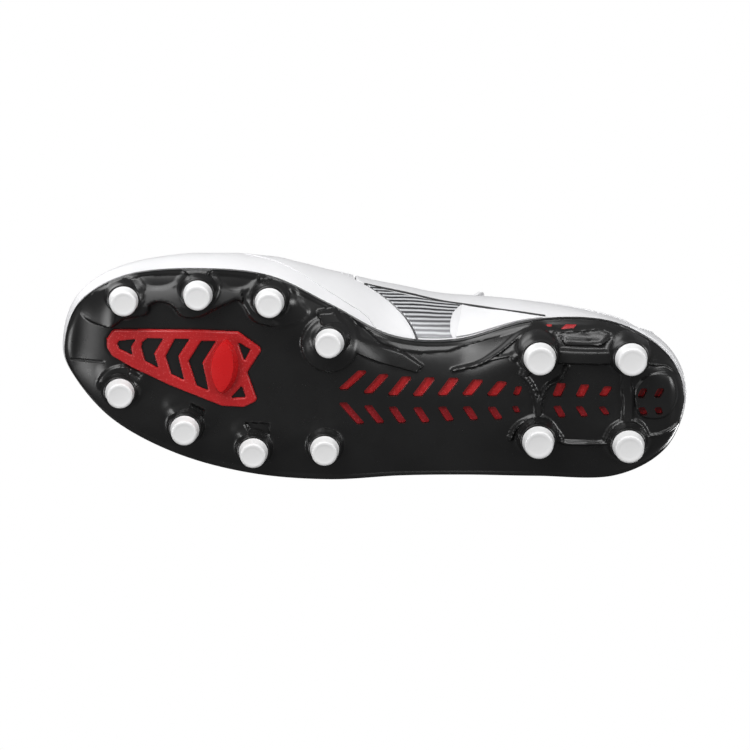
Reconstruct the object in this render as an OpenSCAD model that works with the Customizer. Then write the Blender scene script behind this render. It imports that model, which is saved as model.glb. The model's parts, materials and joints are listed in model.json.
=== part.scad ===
// Soccer cleat, right shoe. Millimetres, +X to the toe, +Y to the medial side, +Z up.
// The studs stand on z = 0. The origin is the middle of the bounding box's bottom face.

/* [Overall] */
// Length of the sole from the heel edge to the toe edge
sole_length = 284; // [240:1:310]

/* [Outsole plate] */
// Thickness of the plate along its middle
plate_t = 3.2; // [2.5:0.1:4.5]
// Thickness of the plate at its rim
rim_t = 1.8; // [1.2:0.1:2.5]
// Width of a chevron slot in the medial row
slot_w = 5.4; // [4:0.1:6.5]
// Number of chevrons in the midfoot rows
midfoot_chevrons = 8; // [5:1:8]

/* [Studs] */
// Diameter of a forefoot stud tip at its face
forefoot_tip_d = 11; // [9:0.1:13]
// Diameter of a heel stud tip at its face
heel_tip_d = 12.4; // [10:0.1:14]
// Height of a white stud tip
tip_h = 6; // [4:0.1:8]
// Rounding of a stud tip's edge
tip_round = 1; // [0.4:0.1:1.6]

/* [Upper] */
// Thickness of the outer leather
leather_t = 1.3; // [0.8:0.1:2]
// Thickness of the lining
lining_t = 0.8; // [0.5:0.1:1.5]
// Thickness of the collar padding
padding_t = 3.6; // [2:0.1:5]
// Thickness of the toe puff and the heel counter
stiffener_t = 0.8; // [0.5:0.1:1.2]
// Thickness of a panel laid over the leather
overlay_t = 0.9; // [0.5:0.1:1.5]

/* [Insole] */
// Thickness of the insole board
board_t = 1.6; // [1:0.1:2.5]
// Thickness of the sockliner
sockliner_t = 3.4; // [2:0.1:5]

/* [Tongue and lace] */
// Thickness of the padded tongue
tongue_t = 4; // [3:0.1:6]
// Diameter of a lace hole
lace_hole_d = 5.4; // [4:0.1:6]
// Diameter of the lace
lace_d = 2.8; // [2:0.1:3.2]
// Angle by which the tongue's top is folded forward
tongue_fold = 0; // [-5:1:50]

/* [Hidden] */

// The shoe is drawn about its heel axis, at a sole length of 284, then moved to the origin.
drawn_length = 284;
grow = sole_length / drawn_length;
frame_shift = [0, -13, 0];
gap = 0.2;
// Clearance between layers of the upper whose faces are cut from different grids.
layer_gap = 0.35;
// Facets of a round: stud tips, then pedestals and sockets, blade arcs, lace holes.
fine = 48;
coarse = 32;
arc_fine = 96;
hole_fine = 24;
// Height of a cutter that passes the whole plate.
through_h = 60;

black = "#1c1c1e";
red = "#a81418";
white = "#f2f2f2";
grey = "#8c8e92";

// Four guide rails run round the upper as closed rings. Station 0 is the toe, station 11 the
// heel, stations 1 to 10 the medial side and 21 down to 12 the lateral side.
heel_station = 11;
ring = 2 * heel_station;
function ring_of(medial, lateral) = concat(medial, [for (i = [len(lateral) - 1:-1:0]) lateral[i]]);

// Feather rail: where the upper leaves the plate.
feather = ring_of(
    [[142, 27, 22], [134, 45.4, 21], [112, 57.8, 18.5], [80, 60.8, 17], [48, 57.4, 17], [20, 43, 20],
     [-8, 26.5, 27], [-38, 23.5, 31], [-72, 33, 30], [-108, 33, 28], [-134, 19, 26], [-143, -2, 24.5]],
    [[139, 12, 20.5], [121, -9, 17.5], [92, -25, 16], [58, -34.5, 15.5], [22, -38, 16],
     [-12, -37, 18], [-42, -37, 19], [-75, -37.5, 19], [-111, -37.5, 19.5], [-135, -25, 22]]);
// Bulge rail: pulls the side walls outward.
bulge = ring_of(
    [[149, 27, 36], [141, 51, 35], [118, 67, 33], [81, 75, 33], [45, 70, 36], [16, 60, 42],
     [-12, 52, 50], [-40, 44, 52], [-74, 41, 48], [-109, 33, 44], [-138, 20, 43], [-148, -1, 42]],
    [[147, 7, 34], [127, -15, 32], [94, -30, 32], [58, -40, 33], [20, -44, 36],
     [-14, -43, 40], [-44, -42, 42], [-77, -41, 42], [-112, -39, 42], [-139, -25, 42]]);
// Shoulder rail: rounds the upper over toward its top line.
shoulder = ring_of(
    [[134, 27, 50], [126, 42, 50], [106, 52, 54], [76, 52, 60], [46, 54, 68], [18, 50, 75],
     [-8, 42, 82], [-32, 35, 84], [-66, 33, 66], [-101, 29, 56], [-125, 18, 60], [-136, 0, 64]],
    [[129, 11, 49], [112, -4, 52], [84, -13, 58], [50, -20, 65], [18, -25, 71],
     [-12, -29, 76], [-36, -30, 78], [-68, -33, 60], [-104, -31, 54], [-127, -20, 58]]);
// Top rail: the vamp's ridge, then the throat's edges, then the collar.
top = ring_of(
    [[110, 26, 49], [104, 25.5, 51], [92, 24, 55], [72, 21, 61], [46, 25, 68], [20, 23, 76],
     [-4, 22, 84], [-26, 22, 91], [-60, 29, 79], [-96, 28, 69], [-123, 18, 75], [-135, 0, 84]],
    [[104, 25.5, 51], [92, 24, 55], [72, 21, 61], [46, 8, 68], [20, 2, 76],
     [-4, -3, 84], [-26, -5, 90], [-60, -22, 76], [-96, -26, 66], [-123, -18, 73]]);

// A smooth curve through the ring's stations, taken at a station number with a fraction.
function ring_point(r, i) = r[((i % ring) + ring) % ring];
function rail(r, s) =
    let (i = floor(s), f = s - i,
         a = ring_point(r, i - 1), b = ring_point(r, i),
         c = ring_point(r, i + 1), d = ring_point(r, i + 2))
    b + 0.5 * f * ((c - a) + f * ((2 * a - 5 * b + 4 * c - d) + f * (3 * (b - c) + d - a)));

// The upper's outer face at station s and height t, from 0 at the plate to 1 at the top.
function bezier(a, b, c, d, t) =
    pow(1 - t, 3) * a + 3 * t * pow(1 - t, 2) * b + 3 * t * t * (1 - t) * c + pow(t, 3) * d;
function outer_face(s, t) = bezier(rail(feather, s), rail(bulge, s), rail(shoulder, s), rail(top, s), t);
function unit(v) = v / norm(v);
function mix(a, b, f) = a + (b - a) * f;
function outward(s, t) =
    let (e = 0.02, h = min(max(t, e), 0.94))
    unit(cross(outer_face(s + e, h) - outer_face(s - e, h),
               outer_face(s, h + e) - outer_face(s, h - e)));
// A point of the upper at a depth below its outer face.
function upper_point(s, t, depth) = outer_face(s, t) - depth * outward(s, t);

// Closes two equal grids of points into one thin solid. A folded grid has a first row that
// doubles back on itself, as the toe's centre line does.
module shell(outer, inner, folded = false) {
    rows = len(outer);
    cols = len(outer[0]);
    half = (cols - 1) / 2;
    count = rows * cols;
    function at(i, j) = folded && i == 0 && j > half ? cols - 1 - j : i * cols + j;
    function quad(a, b, c, d) = [[c, b, a], [d, c, a]];
    skins = [for (i = [0:rows - 2]) for (j = [0:cols - 2])
        for (f = concat(
            quad(at(i, j), at(i + 1, j), at(i + 1, j + 1), at(i, j + 1)),
            quad(count + at(i, j), count + at(i, j + 1), count + at(i + 1, j + 1), count + at(i + 1, j))))
        f];
    sides = [for (i = [0:rows - 2])
        for (f = concat(
            quad(at(i, 0), count + at(i, 0), count + at(i + 1, 0), at(i + 1, 0)),
            quad(at(i, cols - 1), at(i + 1, cols - 1), count + at(i + 1, cols - 1), count + at(i, cols - 1))))
        f];
    ends = [for (j = [0:cols - 2])
        for (f = concat(
            folded ? [] : quad(at(0, j), at(0, j + 1), count + at(0, j + 1), count + at(0, j)),
            quad(at(rows - 1, j), count + at(rows - 1, j), count + at(rows - 1, j + 1), at(rows - 1, j + 1))))
        f];
    polyhedron(
        points = concat([for (r = outer) each r], [for (r = inner) each r]),
        faces = concat(skins, sides, ends));
}

// A panel of the upper between depths d0 and d1. Its corners are [station, height] pairs:
// bottom start, bottom end, top end, top start.
function panel_grid(c, rows, cols, depth) =
    [for (i = [0:rows]) [for (j = [0:cols])
        let (p = mix(mix(c[0], c[1], i / rows), mix(c[3], c[2], i / rows), j / cols))
        upper_point(p[0], p[1], depth)]];
module panel(corners, rows, cols, d0, d1) {
    shell(panel_grid(corners, rows, cols, d0), panel_grid(corners, rows, cols, d1));
}
// The same panel on the lateral side.
function lateral(c) = [for (p = [c[1], c[0], c[3], c[2]]) [ring - p[0], p[1]]];

// The toe, from its centre line back to a station, over both sides.
function toe_point(s, w, depth) =
    w < 0.5 ? upper_point(s, 2 * w, depth)
    : w > 0.5 ? upper_point(-s, 2 - 2 * w, depth)
    : (upper_point(s, 1, depth) + upper_point(-s, 1, depth)) / 2;
function toe_grid(s_end, rows, cols, depth) =
    [for (i = [0:rows]) [for (j = [0:cols]) toe_point(s_end * i / rows, j / cols, depth)]];
module toe_shell(s_end, rows, cols, d0, d1) {
    shell(toe_grid(s_end, rows, cols, d0), toe_grid(s_end, rows, cols, d1), folded = true);
}

// Keel: height of the plate's lower face along its middle, and how sharply its rim turns up.
keel = [19, 16.5, 13, 11.2, 11, 12, 14.5, 16, 14.5, 13, 13.5, 21];
curl = [3, 3, 5, 6, 6, 5, 3, 2.8, 5, 7, 5, 3];
function along(list, s) =
    let (i = min(floor(s), len(list) - 2), f = s - i)
    mix(list[i], list[i + 1], f * f * (3 - 2 * f));

// A point of the sole at station s and side u, from -1 lateral to 1 medial. Its height is a
// number of plate thicknesses plus an offset above the plate's lower face.
function thickness_at(u) = mix(plate_t, rim_t, pow(min(abs(u), 1), 4));
function sole_point(s, u, layers, offset) =
    let (m = rail(feather, s), l = rail(feather, -s), mid = (m + l) / 2, half = (m - l) / 2,
         rim = (u > 0 ? m[2] : l[2]) - gap - rim_t,
         low = mix(along(keel, s), rim, pow(min(abs(u), 1), along(curl, s))))
    [mid[0] + half[0] * u, mid[1] + half[1] * u, low + layers * thickness_at(u) + offset];
// Slabs of the sole share one set of lines, so that faces one above the other stay parallel.
sole_start = 0.1;
sole_rows = 45;
sole_row = 0.24;
sole_cols = 8;
sole_col = 0.1275;
module sole_slab(row0, row1, col0, col1, low, high) {
    grid = function (level) [for (i = [row0:row1]) [for (j = [col0:col1])
        sole_point(sole_start + sole_row * i, sole_col * j, level[0], level[1])]];
    shell(grid(low), grid(high));
}
module whole_sole_slab(low, high) sole_slab(0, sole_rows, -sole_cols, sole_cols, low, high);

// Studs: [x, y, height of the tip's face, tilt toward the toe in degrees].
medial_studs = [[112.9, 48.8, 2, 5], [79.7, 52.1, 0, 0], [47.5, 48.6, 0, 0], [21.2, 29.2, 1.5, -6]];
lateral_studs = [[115.9, 5.2, 2, 5], [87, -11.9, 0, 0], [55.8, -22.8, 0, 0], [23.1, -21.7, 0, 0]];
heel_studs = [[-74.7, 22.3, 0, 0], [-116.2, 22, 0, 0], [-74.8, -17.7, 0, 0], [-116.2, -19.7, 0, 0]];
draft = 1.15;
collar_w = 0.6;
flare = 3.4;
flare_h = 5;
root_h = 8;
peg_d = 5;
peg_h = 3;
peg_play = 0.2;
// The peg's socket starts below the pedestal's face, so that its mouth is cut cleanly.
socket_mouth = 1;
// How far below the plate the pedestals are kept.
pedestal_reach = 20;

module at_stud(stud) translate([stud[0], stud[1], stud[2]]) rotate([0, stud[3], 0]) children();
module tip_solid(d) {
    r = d / 2;
    rotate_extrude($fn = fine) {
        difference() {
            union() {
                polygon([[0, 0], [r - tip_round, 0], [r, tip_round], [r + draft, tip_h], [0, tip_h]]);
                translate([r - tip_round, tip_round]) circle(tip_round, $fn = fine);
            }
            translate([-2 * r, -r]) square([2 * r, 4 * r]);
        }
    }
    translate([0, 0, tip_h]) cylinder(d = peg_d, h = peg_h, $fn = fine);
}
module pedestal(stud, d) {
    foot_r = d / 2 + draft + flare;
    at_stud(stud) translate([0, 0, tip_h]) {
        cylinder(r1 = d / 2 + draft + collar_w, r2 = foot_r, h = flare_h, $fn = coarse);
        translate([0, 0, flare_h]) cylinder(r = foot_r, h = root_h, $fn = coarse);
    }
}
module peg_socket(stud) {
    at_stud(stud) translate([0, 0, tip_h - socket_mouth])
        cylinder(d = peg_d + peg_play, h = peg_h + socket_mouth + peg_play, $fn = coarse);
}

// Forefoot insert: a fin-shaped frame with slanted windows and a raised blade.
insert_outline = [[122, 29], [119, 33.5], [82, 34], [62, 33], [51.5, 25], [58.5, 14], [54, 0.5],
                  [60, -2.5], [70, -2], [94, 8], [111, 16], [120, 21.5], [122, 25]];
insert_windows = [
    [[117.5, 27], [116.5, 28.5], [108.5, 29.5], [111, 25.5], [110.5, 21.5], [116.5, 24.5]],
    [[106.5, 25.5], [106, 28], [103.5, 30], [96, 30], [100.5, 22.5], [98.5, 15.5], [105, 19]],
    [[95.5, 21.5], [91, 30], [84, 30], [89.5, 21.5], [87, 10], [93, 13]],
    [[85, 19.5], [79, 29], [74, 29], [78.5, 18.5], [76.5, 6], [81.5, 7.5]],
    [[61, 28], [56.5, 25], [59.5, 19]],
    [[66, 1.5], [60.5, 7], [59, 2]]];
insert_proud = 1.2;
insert_depth = 2;
// How far below the plate the insert's recess is cut.
recess_reach = 4;
blade_z = [5, 11];
// The blade is a lens between two arcs, leaning with the frame's windows: [x, y], length, width.
blade_face = [[69.2, 18], 24, 9.5];
blade_foot = [[68.3, 16.5], 27, 14];
blade_lean = 5;
blade_layer_t = 0.1;
module lens(chord, width) {
    r = (chord * chord + width * width) / (4 * width);
    intersection() {
        translate([r - width / 2, 0]) circle(r, $fn = arc_fine);
        translate([width / 2 - r, 0]) circle(r, $fn = arc_fine);
    }
}
module blade_layer(layer, z)
    translate([layer[0][0], layer[0][1], z]) rotate([0, 0, blade_lean])
        linear_extrude(blade_layer_t) lens(layer[1], layer[2]);
module insert_plan() {
    difference() {
        polygon(insert_outline);
        for (w = insert_windows) polygon(w);
    }
}
insert_z = [6, 20];
module insert_prism()
    translate([0, 0, insert_z[0]]) linear_extrude(insert_z[1] - insert_z[0]) insert_plan();

// Chevron slots, one row on each side of a slanting axis: [inner end, outer end, width].
// They grow shorter toward the heel, and the three nearest the toe bend away from the axis.
slot_start = 15.2;
slot_pitch = 11.4;
lateral_slot_less = 1.2;
function toe_bend(k) = pow(max(0, 3 - k), 2);
function medial_slot(k) =
    let (x = slot_start - slot_pitch * k)
    [[x, 0.8 + 0.45 * toe_bend(k)],
     [x - 8 + 0.38 * k - 0.23 * toe_bend(k), 10.8 - 0.42 * k + 0.36 * toe_bend(k)], slot_w];
function lateral_slot(k) =
    let (x = slot_start - slot_pitch * k)
    [[x, 0.35 * toe_bend(k) - 4],
     [x - 5.4 + 0.2 * k - 0.4 * toe_bend(k), 0.5 * max(0, k - 3) - 12], slot_w - lateral_slot_less];
heel_slots = [
    [[-64.6, 1.4], [-66.4, 6.2], 3.2], [[-64.1, -3.4], [-65.8, -7], 3],
    [[-83.3, 1], [-85.8, 7.8], 4.4], [[-93.8, 1], [-96.6, 7.4], 4.4], [[-104.3, 1.5], [-107.2, 6.6], 4.2],
    [[-83.3, -3.1], [-86.5, -9.1], 3.7], [[-93.4, -3.1], [-96.7, -8.6], 3.6],
    [[-103.8, -3.1], [-106.8, -7.5], 3.2], [[-121.6, 1.1], [-123.5, 5.9], 3.4],
    [[-129.1, 1.1], [-131.3, 5.9], 3.4], [[-122, -3.2], [-124, -7.4], 3.4],
    [[-129.6, -3.2], [-131, -7], 3.3]];
slots = concat([for (k = [0:midfoot_chevrons - 2]) medial_slot(k)],
               [for (k = [0:midfoot_chevrons - 2]) lateral_slot(k)], heel_slots);
module slot_plan(slot) {
    w = slot[2] / 2;
    polygon([slot[0] - [w, 0], slot[0] + [w, 0], slot[1] + [w, 0], slot[1] - [w, 0]]);
}
module chevron_cuts() for (slot = slots) linear_extrude(through_h) slot_plan(slot);
// Two windows through the medial heel rim, each filled by a red inlay.
rim_windows = [
    [[-72.8, 31.9], [-81.5, 32.8], [-79.5, 30.4], [-73.6, 30.2]],
    [[-85.3, 31.4], [-87.6, 32.8], [-92.4, 32.8], [-90, 31]]];
inlay_play = 0.1;
module rim_inlay(window) color(red) intersection() {
    whole_sole_slab([0, gap], [1, -gap]);
    linear_extrude(through_h) offset(-inlay_play) polygon(window);
}

module outsole_plate() color(black) {
    difference() {
        union() {
            whole_sole_slab([0, 0], [1, 0]);
            // The pedestals end flush with the plate's upper face and at its rim.
            intersection() {
                whole_sole_slab([0, -pedestal_reach], [1, 0]);
                union() {
                    for (s = concat(medial_studs, lateral_studs)) pedestal(s, forefoot_tip_d);
                    for (s = heel_studs) pedestal(s, heel_tip_d);
                }
            }
        }
        for (s = concat(medial_studs, lateral_studs, heel_studs)) peg_socket(s);
        intersection() {
            whole_sole_slab([0, -recess_reach], [0, insert_depth]);
            insert_prism();
        }
        chevron_cuts();
        for (window = rim_windows) linear_extrude(through_h) polygon(window);
    }
}
module forefoot_insert() color(red) {
    intersection() {
        whole_sole_slab([0, -insert_proud], [0, insert_depth - gap]);
        insert_prism();
    }
    hull() {
        blade_layer(blade_face, blade_z[0]);
        blade_layer(blade_foot, blade_z[1]);
    }
}
// Spans on the sole's lines: first and last row, then first and last column.
shank_span = [20, 43, -5, 7];
insole_span = [5, 41, -6, 6];
shank_t = 1.2;
board_0 = gap + shank_t + gap;
sockliner_0 = board_0 + board_t + gap;
module span_slab(span, low, high)
    sole_slab(span[0], span[1], span[2], span[3], [1, low], [1, high]);
module shank_plate() color(red) span_slab(shank_span, gap, gap + shank_t);
module insole_board() color("tan") span_slab(insole_span, board_0, board_0 + board_t);
module sockliner() color(grey) span_slab(insole_span, sockliner_0, sockliner_0 + sockliner_t);

// Layers of the upper, as depths below its outer face.
stiff_0 = leather_t + layer_gap;
stiff_1 = stiff_0 + stiffener_t;
lining_0 = stiff_1 + gap;
lining_1 = lining_0 + lining_t;
overlay_0 = -layer_gap;
overlay_1 = overlay_0 - overlay_t;
pad_1 = stiff_0 + padding_t;

// The vamp runs from the toe to a seam that slants back toward the plate.
throat_station = 3;
seam_top = 5.3;
seam_low = 6.3;
seam = 0.04;
// Lace holes, as stations along the throat's edges.
lace_hole_stations = [3.75, 4.45, 5.15, 5.85, 6.55];
lace_hole_height = 0.91;
hole_in = 8;
hole_out = 4;
module lace_hole(s) {
    p = outer_face(s, lace_hole_height);
    n = outward(s, lace_hole_height);
    translate(p - hole_in * n) rotate([0, acos(n[2]), atan2(n[1], n[0])])
        cylinder(d = lace_hole_d, h = hole_in + hole_out, $fn = hole_fine);
}
// A panel on the medial side (1) or the lateral side (-1), with the lace holes cut through it.
module laced_panel(side, corners, rows, cols, d0, d1) {
    difference() {
        panel(side > 0 ? corners : lateral(corners), rows, cols, d0, d1);
        for (h = lace_hole_stations) lace_hole(side * h);
    }
}
module vamp() color(white) toe_shell(throat_station - seam, 9, 24, 0, leather_t);
module vamp_wing(side) color(white)
    laced_panel(side, [[throat_station, 0], [seam_low, 0], [seam_top, 1], [throat_station, 1]],
                10, 12, 0, leather_t);
module quarter(side) color(white)
    laced_panel(side, [[seam_low + seam, 0], [heel_station - seam, 0],
                       [heel_station - seam, 1], [seam_top + seam, 1]], 15, 12, 0, leather_t);
module eyestay(side) color(white)
    laced_panel(side, [[3.35, 0.82], [7, 0.82], [6.95, 0.98], [3.35, 0.98]],
                14, 3, overlay_1, overlay_0);
midfoot_panel = [[6.4, 0.03], [6.92, 0.03], [7.05, 0.31], [5.55, 0.31]];
arch_panel = [[7, 0.03], [8.15, 0.03], [7.5, 0.22], [7.12, 0.3]];
module midfoot_panel_medial() color(grey) panel(midfoot_panel, 7, 9, overlay_1, overlay_0);
module midfoot_panel_lateral() color(grey) panel(lateral(midfoot_panel), 7, 9, overlay_1, overlay_0);
module arch_panel_medial() color(white) panel(arch_panel, 8, 5, overlay_1, overlay_0);
module arch_panel_lateral() color(white) panel(lateral(arch_panel), 8, 5, overlay_1, overlay_0);
module heel_panel() color(white)
    panel([[9.3, 0.03], [12.7, 0.03], [11.6, 0.9], [10.4, 0.9]], 14, 9, overlay_1, overlay_0);

// Stiffeners and linings inside the leather.
module toe_puff() color("wheat") {
    panel([[-2.1, 0.03], [2.1, 0.03], [1.5, 0.6], [-1.5, 0.6]], 16, 8, stiff_0, stiff_1);
}
module heel_counter() color("wheat")
    panel([[8.7, 0.03], [13.3, 0.03], [12.4, 0.6], [9.6, 0.6]], 16, 8, stiff_0, stiff_1);
module vamp_lining() color(grey) toe_shell(throat_station, 9, 24, lining_0, lining_1);

// The collar padding widens the lining's depth near the top of the ankle.
pad_start = 7.3;
pad_low = 0.66;
pad_run = 0.6;
pad_rise = [0.14, 0.02];
lining_top = 0.985;
function ease(a, b, v) = let (f = min(max((v - a) / (b - a), 0), 1)) f * f * (3 - 2 * f);
function pad_share(s, t) =
    ease(pad_start - pad_run, pad_start, min(s, ring - s))
    * ease(pad_low - pad_rise[0], pad_low - pad_rise[1], t);
function lining_depth(s, t) = lining_0 + (pad_1 + gap - lining_0) * pad_share(s, t);
module heel_lining() color(grey) {
    rows = 44;
    cols = 12;
    grid = function (extra) [for (i = [0:rows]) [for (j = [0:cols])
        let (s = mix(throat_station + seam, ring - throat_station - seam, i / rows),
             t = lining_top * j / cols)
        upper_point(s, t, lining_depth(s, t) + extra)]];
    difference() {
        shell(grid(0), grid(lining_t));
        for (h = lace_hole_stations) for (side = [1, -1]) lace_hole(side * h);
    }
}
module collar_padding() color("silver")
    panel([[pad_start, pad_low], [ring - pad_start, pad_low],
           [ring - pad_start, 0.97], [pad_start, 0.97]], 26, 4, stiff_0, pad_1);

// Tongue: [x, y, z, half width, droop of the edges] of its upper face, from the throat back.
tongue_line = [[76, 21, 52, 14, 1.5], [62, 19.5, 55.5, 18, 3], [44, 16.5, 60, 20, 4], [20, 13, 68, 21, 5],
               [-4, 10, 76.5, 20, 5], [-20, 8.5, 82.5, 16, 3.5], [-31, 8, 87, 12, 2]];
tongue_top_line = [[-32, 8, 88, 12, 2], [-38, 8, 95, 14, 2.5], [-44, 8, 103, 17, 3],
                   [-48, 8, 110, 17, 3], [-50, 8, 114, 13, 2]];
tongue_hinge = [-31.5, 8, 87.5];
module tongue_strip(line) {
    cols = 8;
    face = function (drop) [for (i = [0:len(line) - 1])
        let (p = line[i], a = line[max(i - 1, 0)], b = line[min(i + 1, len(line) - 1)],
             along_dir = unit([b[0] - a[0], 0, b[2] - a[2]]), down = [along_dir[2], 0, -along_dir[0]])
        [for (j = [0:cols])
            let (v = 2 * j / cols - 1)
            [p[0], p[1] - v * p[3], p[2]] - (drop + p[4] * v * v) * (down[2] < 0 ? -down : down)]];
    shell(face(0), face(tongue_t));
}
module tongue() color(white) tongue_strip(tongue_line);
module tongue_top() color(white)
    translate(tongue_hinge) rotate([0, tongue_fold, 0]) translate(-tongue_hinge)
        tongue_strip(tongue_top_line);

// Lace: [x, y, z] along its middle, from one tucked end through the holes to the other. It comes
// up through each hole, crosses the tongue and goes under the opposite edge to the next hole.
lace_route = [
    [-21, 14, 86], [-14.5, 23.5, 91.5], [-16, 27.5, 89.5], [-18, 23, 83.5], [-16.5, 18.5, 85.5],
    [-8, 7.5, 87], [0.5, -4, 85.5], [-1.5, -10.5, 82.5], [-4, -7, 76], [-2, 0, 79],
    [7.5, 12, 81.5], [17, 23.5, 80], [16.5, 30.5, 79], [14.5, 28, 71.5], [15, 21.5, 72.5],
    [25, 12.5, 75.5], [35, 4, 74.5], [35.5, -3.5, 72.5], [33, -1, 65.5], [32.5, 6, 67],
    [43, 15.5, 70], [53.5, 25, 69], [53.5, 32.5, 68.5], [51.5, 31, 61], [51.5, 23.5, 61.5],
    [51, 17.5, 61.5], [51, 12, 61.5], [53, 4, 60], [55.5, 2.5, 67.5], [53.5, 10.5, 69],
    [43.5, 17, 66], [33, 23.5, 67], [32.5, 30.5, 66], [34.5, 32.5, 73.5], [35, 25, 74.5],
    [25, 14, 72], [14.5, 3, 73], [14, -4, 71], [16.5, -7, 78], [17.5, 0, 80], [8, 10, 77.5],
    [-1.5, 20.5, 78.5], [-2.5, 25.5, 77.5], [-1, 28.5, 84.5], [0, 23, 85.5], [-8, 11.5, 83.5],
    [-16.5, -0.5, 85], [-19, -7, 81.5], [-17, -12, 88], [-14.5, -5, 91], [-21, 3, 86]
];
lace_sides = 8;
module lace() color(white) {
    last = len(lace_route) - 1;
    dirs = [for (i = [0:last])
        unit(lace_route[min(i + 1, last)] - lace_route[max(i - 1, 0)])];
    // Each ring's first spoke is carried on from the ring before it, so that the tube doesn't twist.
    spokes = [for (i = 0, v = unit(cross(dirs[0], [1, 0, 0])); i <= last;
                   i = i + 1,
                   v = i > last ? v : unit(v - (v * dirs[i]) * dirs[i])) v];
    rings = [for (i = [0:last]) [for (k = [0:lace_sides - 1])
        lace_route[i] + lace_d / 2 * (cos(360 * k / lace_sides) * spokes[i]
                                      + sin(360 * k / lace_sides) * cross(dirs[i], spokes[i]))]];
    wall = [for (i = [0:last - 1]) for (k = [0:lace_sides - 1])
        let (a = i * lace_sides + k, b = i * lace_sides + (k + 1) % lace_sides)
        for (f = [[a, b + lace_sides, b], [a, a + lace_sides, b + lace_sides]]) f];
    caps = [for (k = [1:lace_sides - 2])
        for (f = [[0, k, k + 1], [last * lace_sides, last * lace_sides + k + 1, last * lace_sides + k]]) f];
    polyhedron(points = [for (ring_pts = rings) each ring_pts], faces = concat(wall, caps));
}

module placed() scale(grow) translate(frame_shift) children();
module stud_tip(stud, d) placed() color(white) at_stud(stud) tip_solid(d);

placed() outsole_plate();
placed() forefoot_insert();
placed() shank_plate();
placed() rim_inlay(rim_windows[0]);  // rim_inlay_front
placed() rim_inlay(rim_windows[1]);  // rim_inlay_rear
stud_tip(medial_studs[0], forefoot_tip_d);  // stud_tip_medial_1
stud_tip(medial_studs[1], forefoot_tip_d);  // stud_tip_medial_2
stud_tip(medial_studs[2], forefoot_tip_d);  // stud_tip_medial_3
stud_tip(medial_studs[3], forefoot_tip_d);  // stud_tip_medial_4
stud_tip(lateral_studs[0], forefoot_tip_d);  // stud_tip_lateral_1
stud_tip(lateral_studs[1], forefoot_tip_d);  // stud_tip_lateral_2
stud_tip(lateral_studs[2], forefoot_tip_d);  // stud_tip_lateral_3
stud_tip(lateral_studs[3], forefoot_tip_d);  // stud_tip_lateral_4
stud_tip(heel_studs[0], heel_tip_d);  // stud_tip_heel_1
stud_tip(heel_studs[1], heel_tip_d);  // stud_tip_heel_2
stud_tip(heel_studs[2], heel_tip_d);  // stud_tip_heel_3
stud_tip(heel_studs[3], heel_tip_d);  // stud_tip_heel_4
placed() insole_board();
placed() sockliner();
placed() toe_puff();
placed() heel_counter();
placed() vamp();
placed() vamp_wing(1);  // vamp_wing_medial
placed() vamp_wing(-1);  // vamp_wing_lateral
placed() quarter(1);  // quarter_medial
placed() quarter(-1);  // quarter_lateral
placed() midfoot_panel_medial();
placed() midfoot_panel_lateral();
placed() arch_panel_medial();
placed() arch_panel_lateral();
placed() eyestay(1);  // eyestay_medial
placed() eyestay(-1);  // eyestay_lateral
placed() heel_panel();
placed() vamp_lining();
placed() heel_lining();
placed() collar_padding();
placed() tongue();
placed() tongue_top();
placed() lace();
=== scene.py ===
"""Soccer cleat, right shoe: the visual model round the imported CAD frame."""
import json
import math
import bmesh
import bpy
import numpy as np
from mathutils import Matrix, Vector

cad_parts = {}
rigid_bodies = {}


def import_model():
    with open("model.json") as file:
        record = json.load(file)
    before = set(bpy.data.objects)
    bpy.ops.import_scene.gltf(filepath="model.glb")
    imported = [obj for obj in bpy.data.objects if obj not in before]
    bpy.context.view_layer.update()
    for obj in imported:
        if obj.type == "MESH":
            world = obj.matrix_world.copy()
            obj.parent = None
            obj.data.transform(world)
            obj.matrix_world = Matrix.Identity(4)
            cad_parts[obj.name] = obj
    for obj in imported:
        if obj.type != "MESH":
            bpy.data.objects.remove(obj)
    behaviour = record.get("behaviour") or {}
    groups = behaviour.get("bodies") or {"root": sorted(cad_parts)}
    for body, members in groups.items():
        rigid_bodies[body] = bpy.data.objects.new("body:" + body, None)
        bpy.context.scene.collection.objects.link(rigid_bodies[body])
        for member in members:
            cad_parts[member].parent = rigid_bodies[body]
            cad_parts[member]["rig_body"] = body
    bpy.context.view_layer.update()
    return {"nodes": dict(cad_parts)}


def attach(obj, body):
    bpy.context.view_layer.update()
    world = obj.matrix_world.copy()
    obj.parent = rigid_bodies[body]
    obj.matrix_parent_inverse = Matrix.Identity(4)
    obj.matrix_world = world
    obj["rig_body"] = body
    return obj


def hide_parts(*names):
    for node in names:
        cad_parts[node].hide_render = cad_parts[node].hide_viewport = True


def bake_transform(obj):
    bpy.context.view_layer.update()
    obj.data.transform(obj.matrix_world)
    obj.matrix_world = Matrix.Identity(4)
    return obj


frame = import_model()
MM = 0.001
SHOE = "shoe"

# The drawn frame's heel axis lies this far from the row's origin, in mm, as in the CAD shoe.
SHIFT = np.array([0.0, -13.0, 0.0])

# ---------------------------------------------------------------- guide rails, as in the CAD shoe
HEEL = 11
RING = 2 * HEEL


def ring_of(medial, lateral):
    return np.array(medial + lateral[::-1], float)


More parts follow.
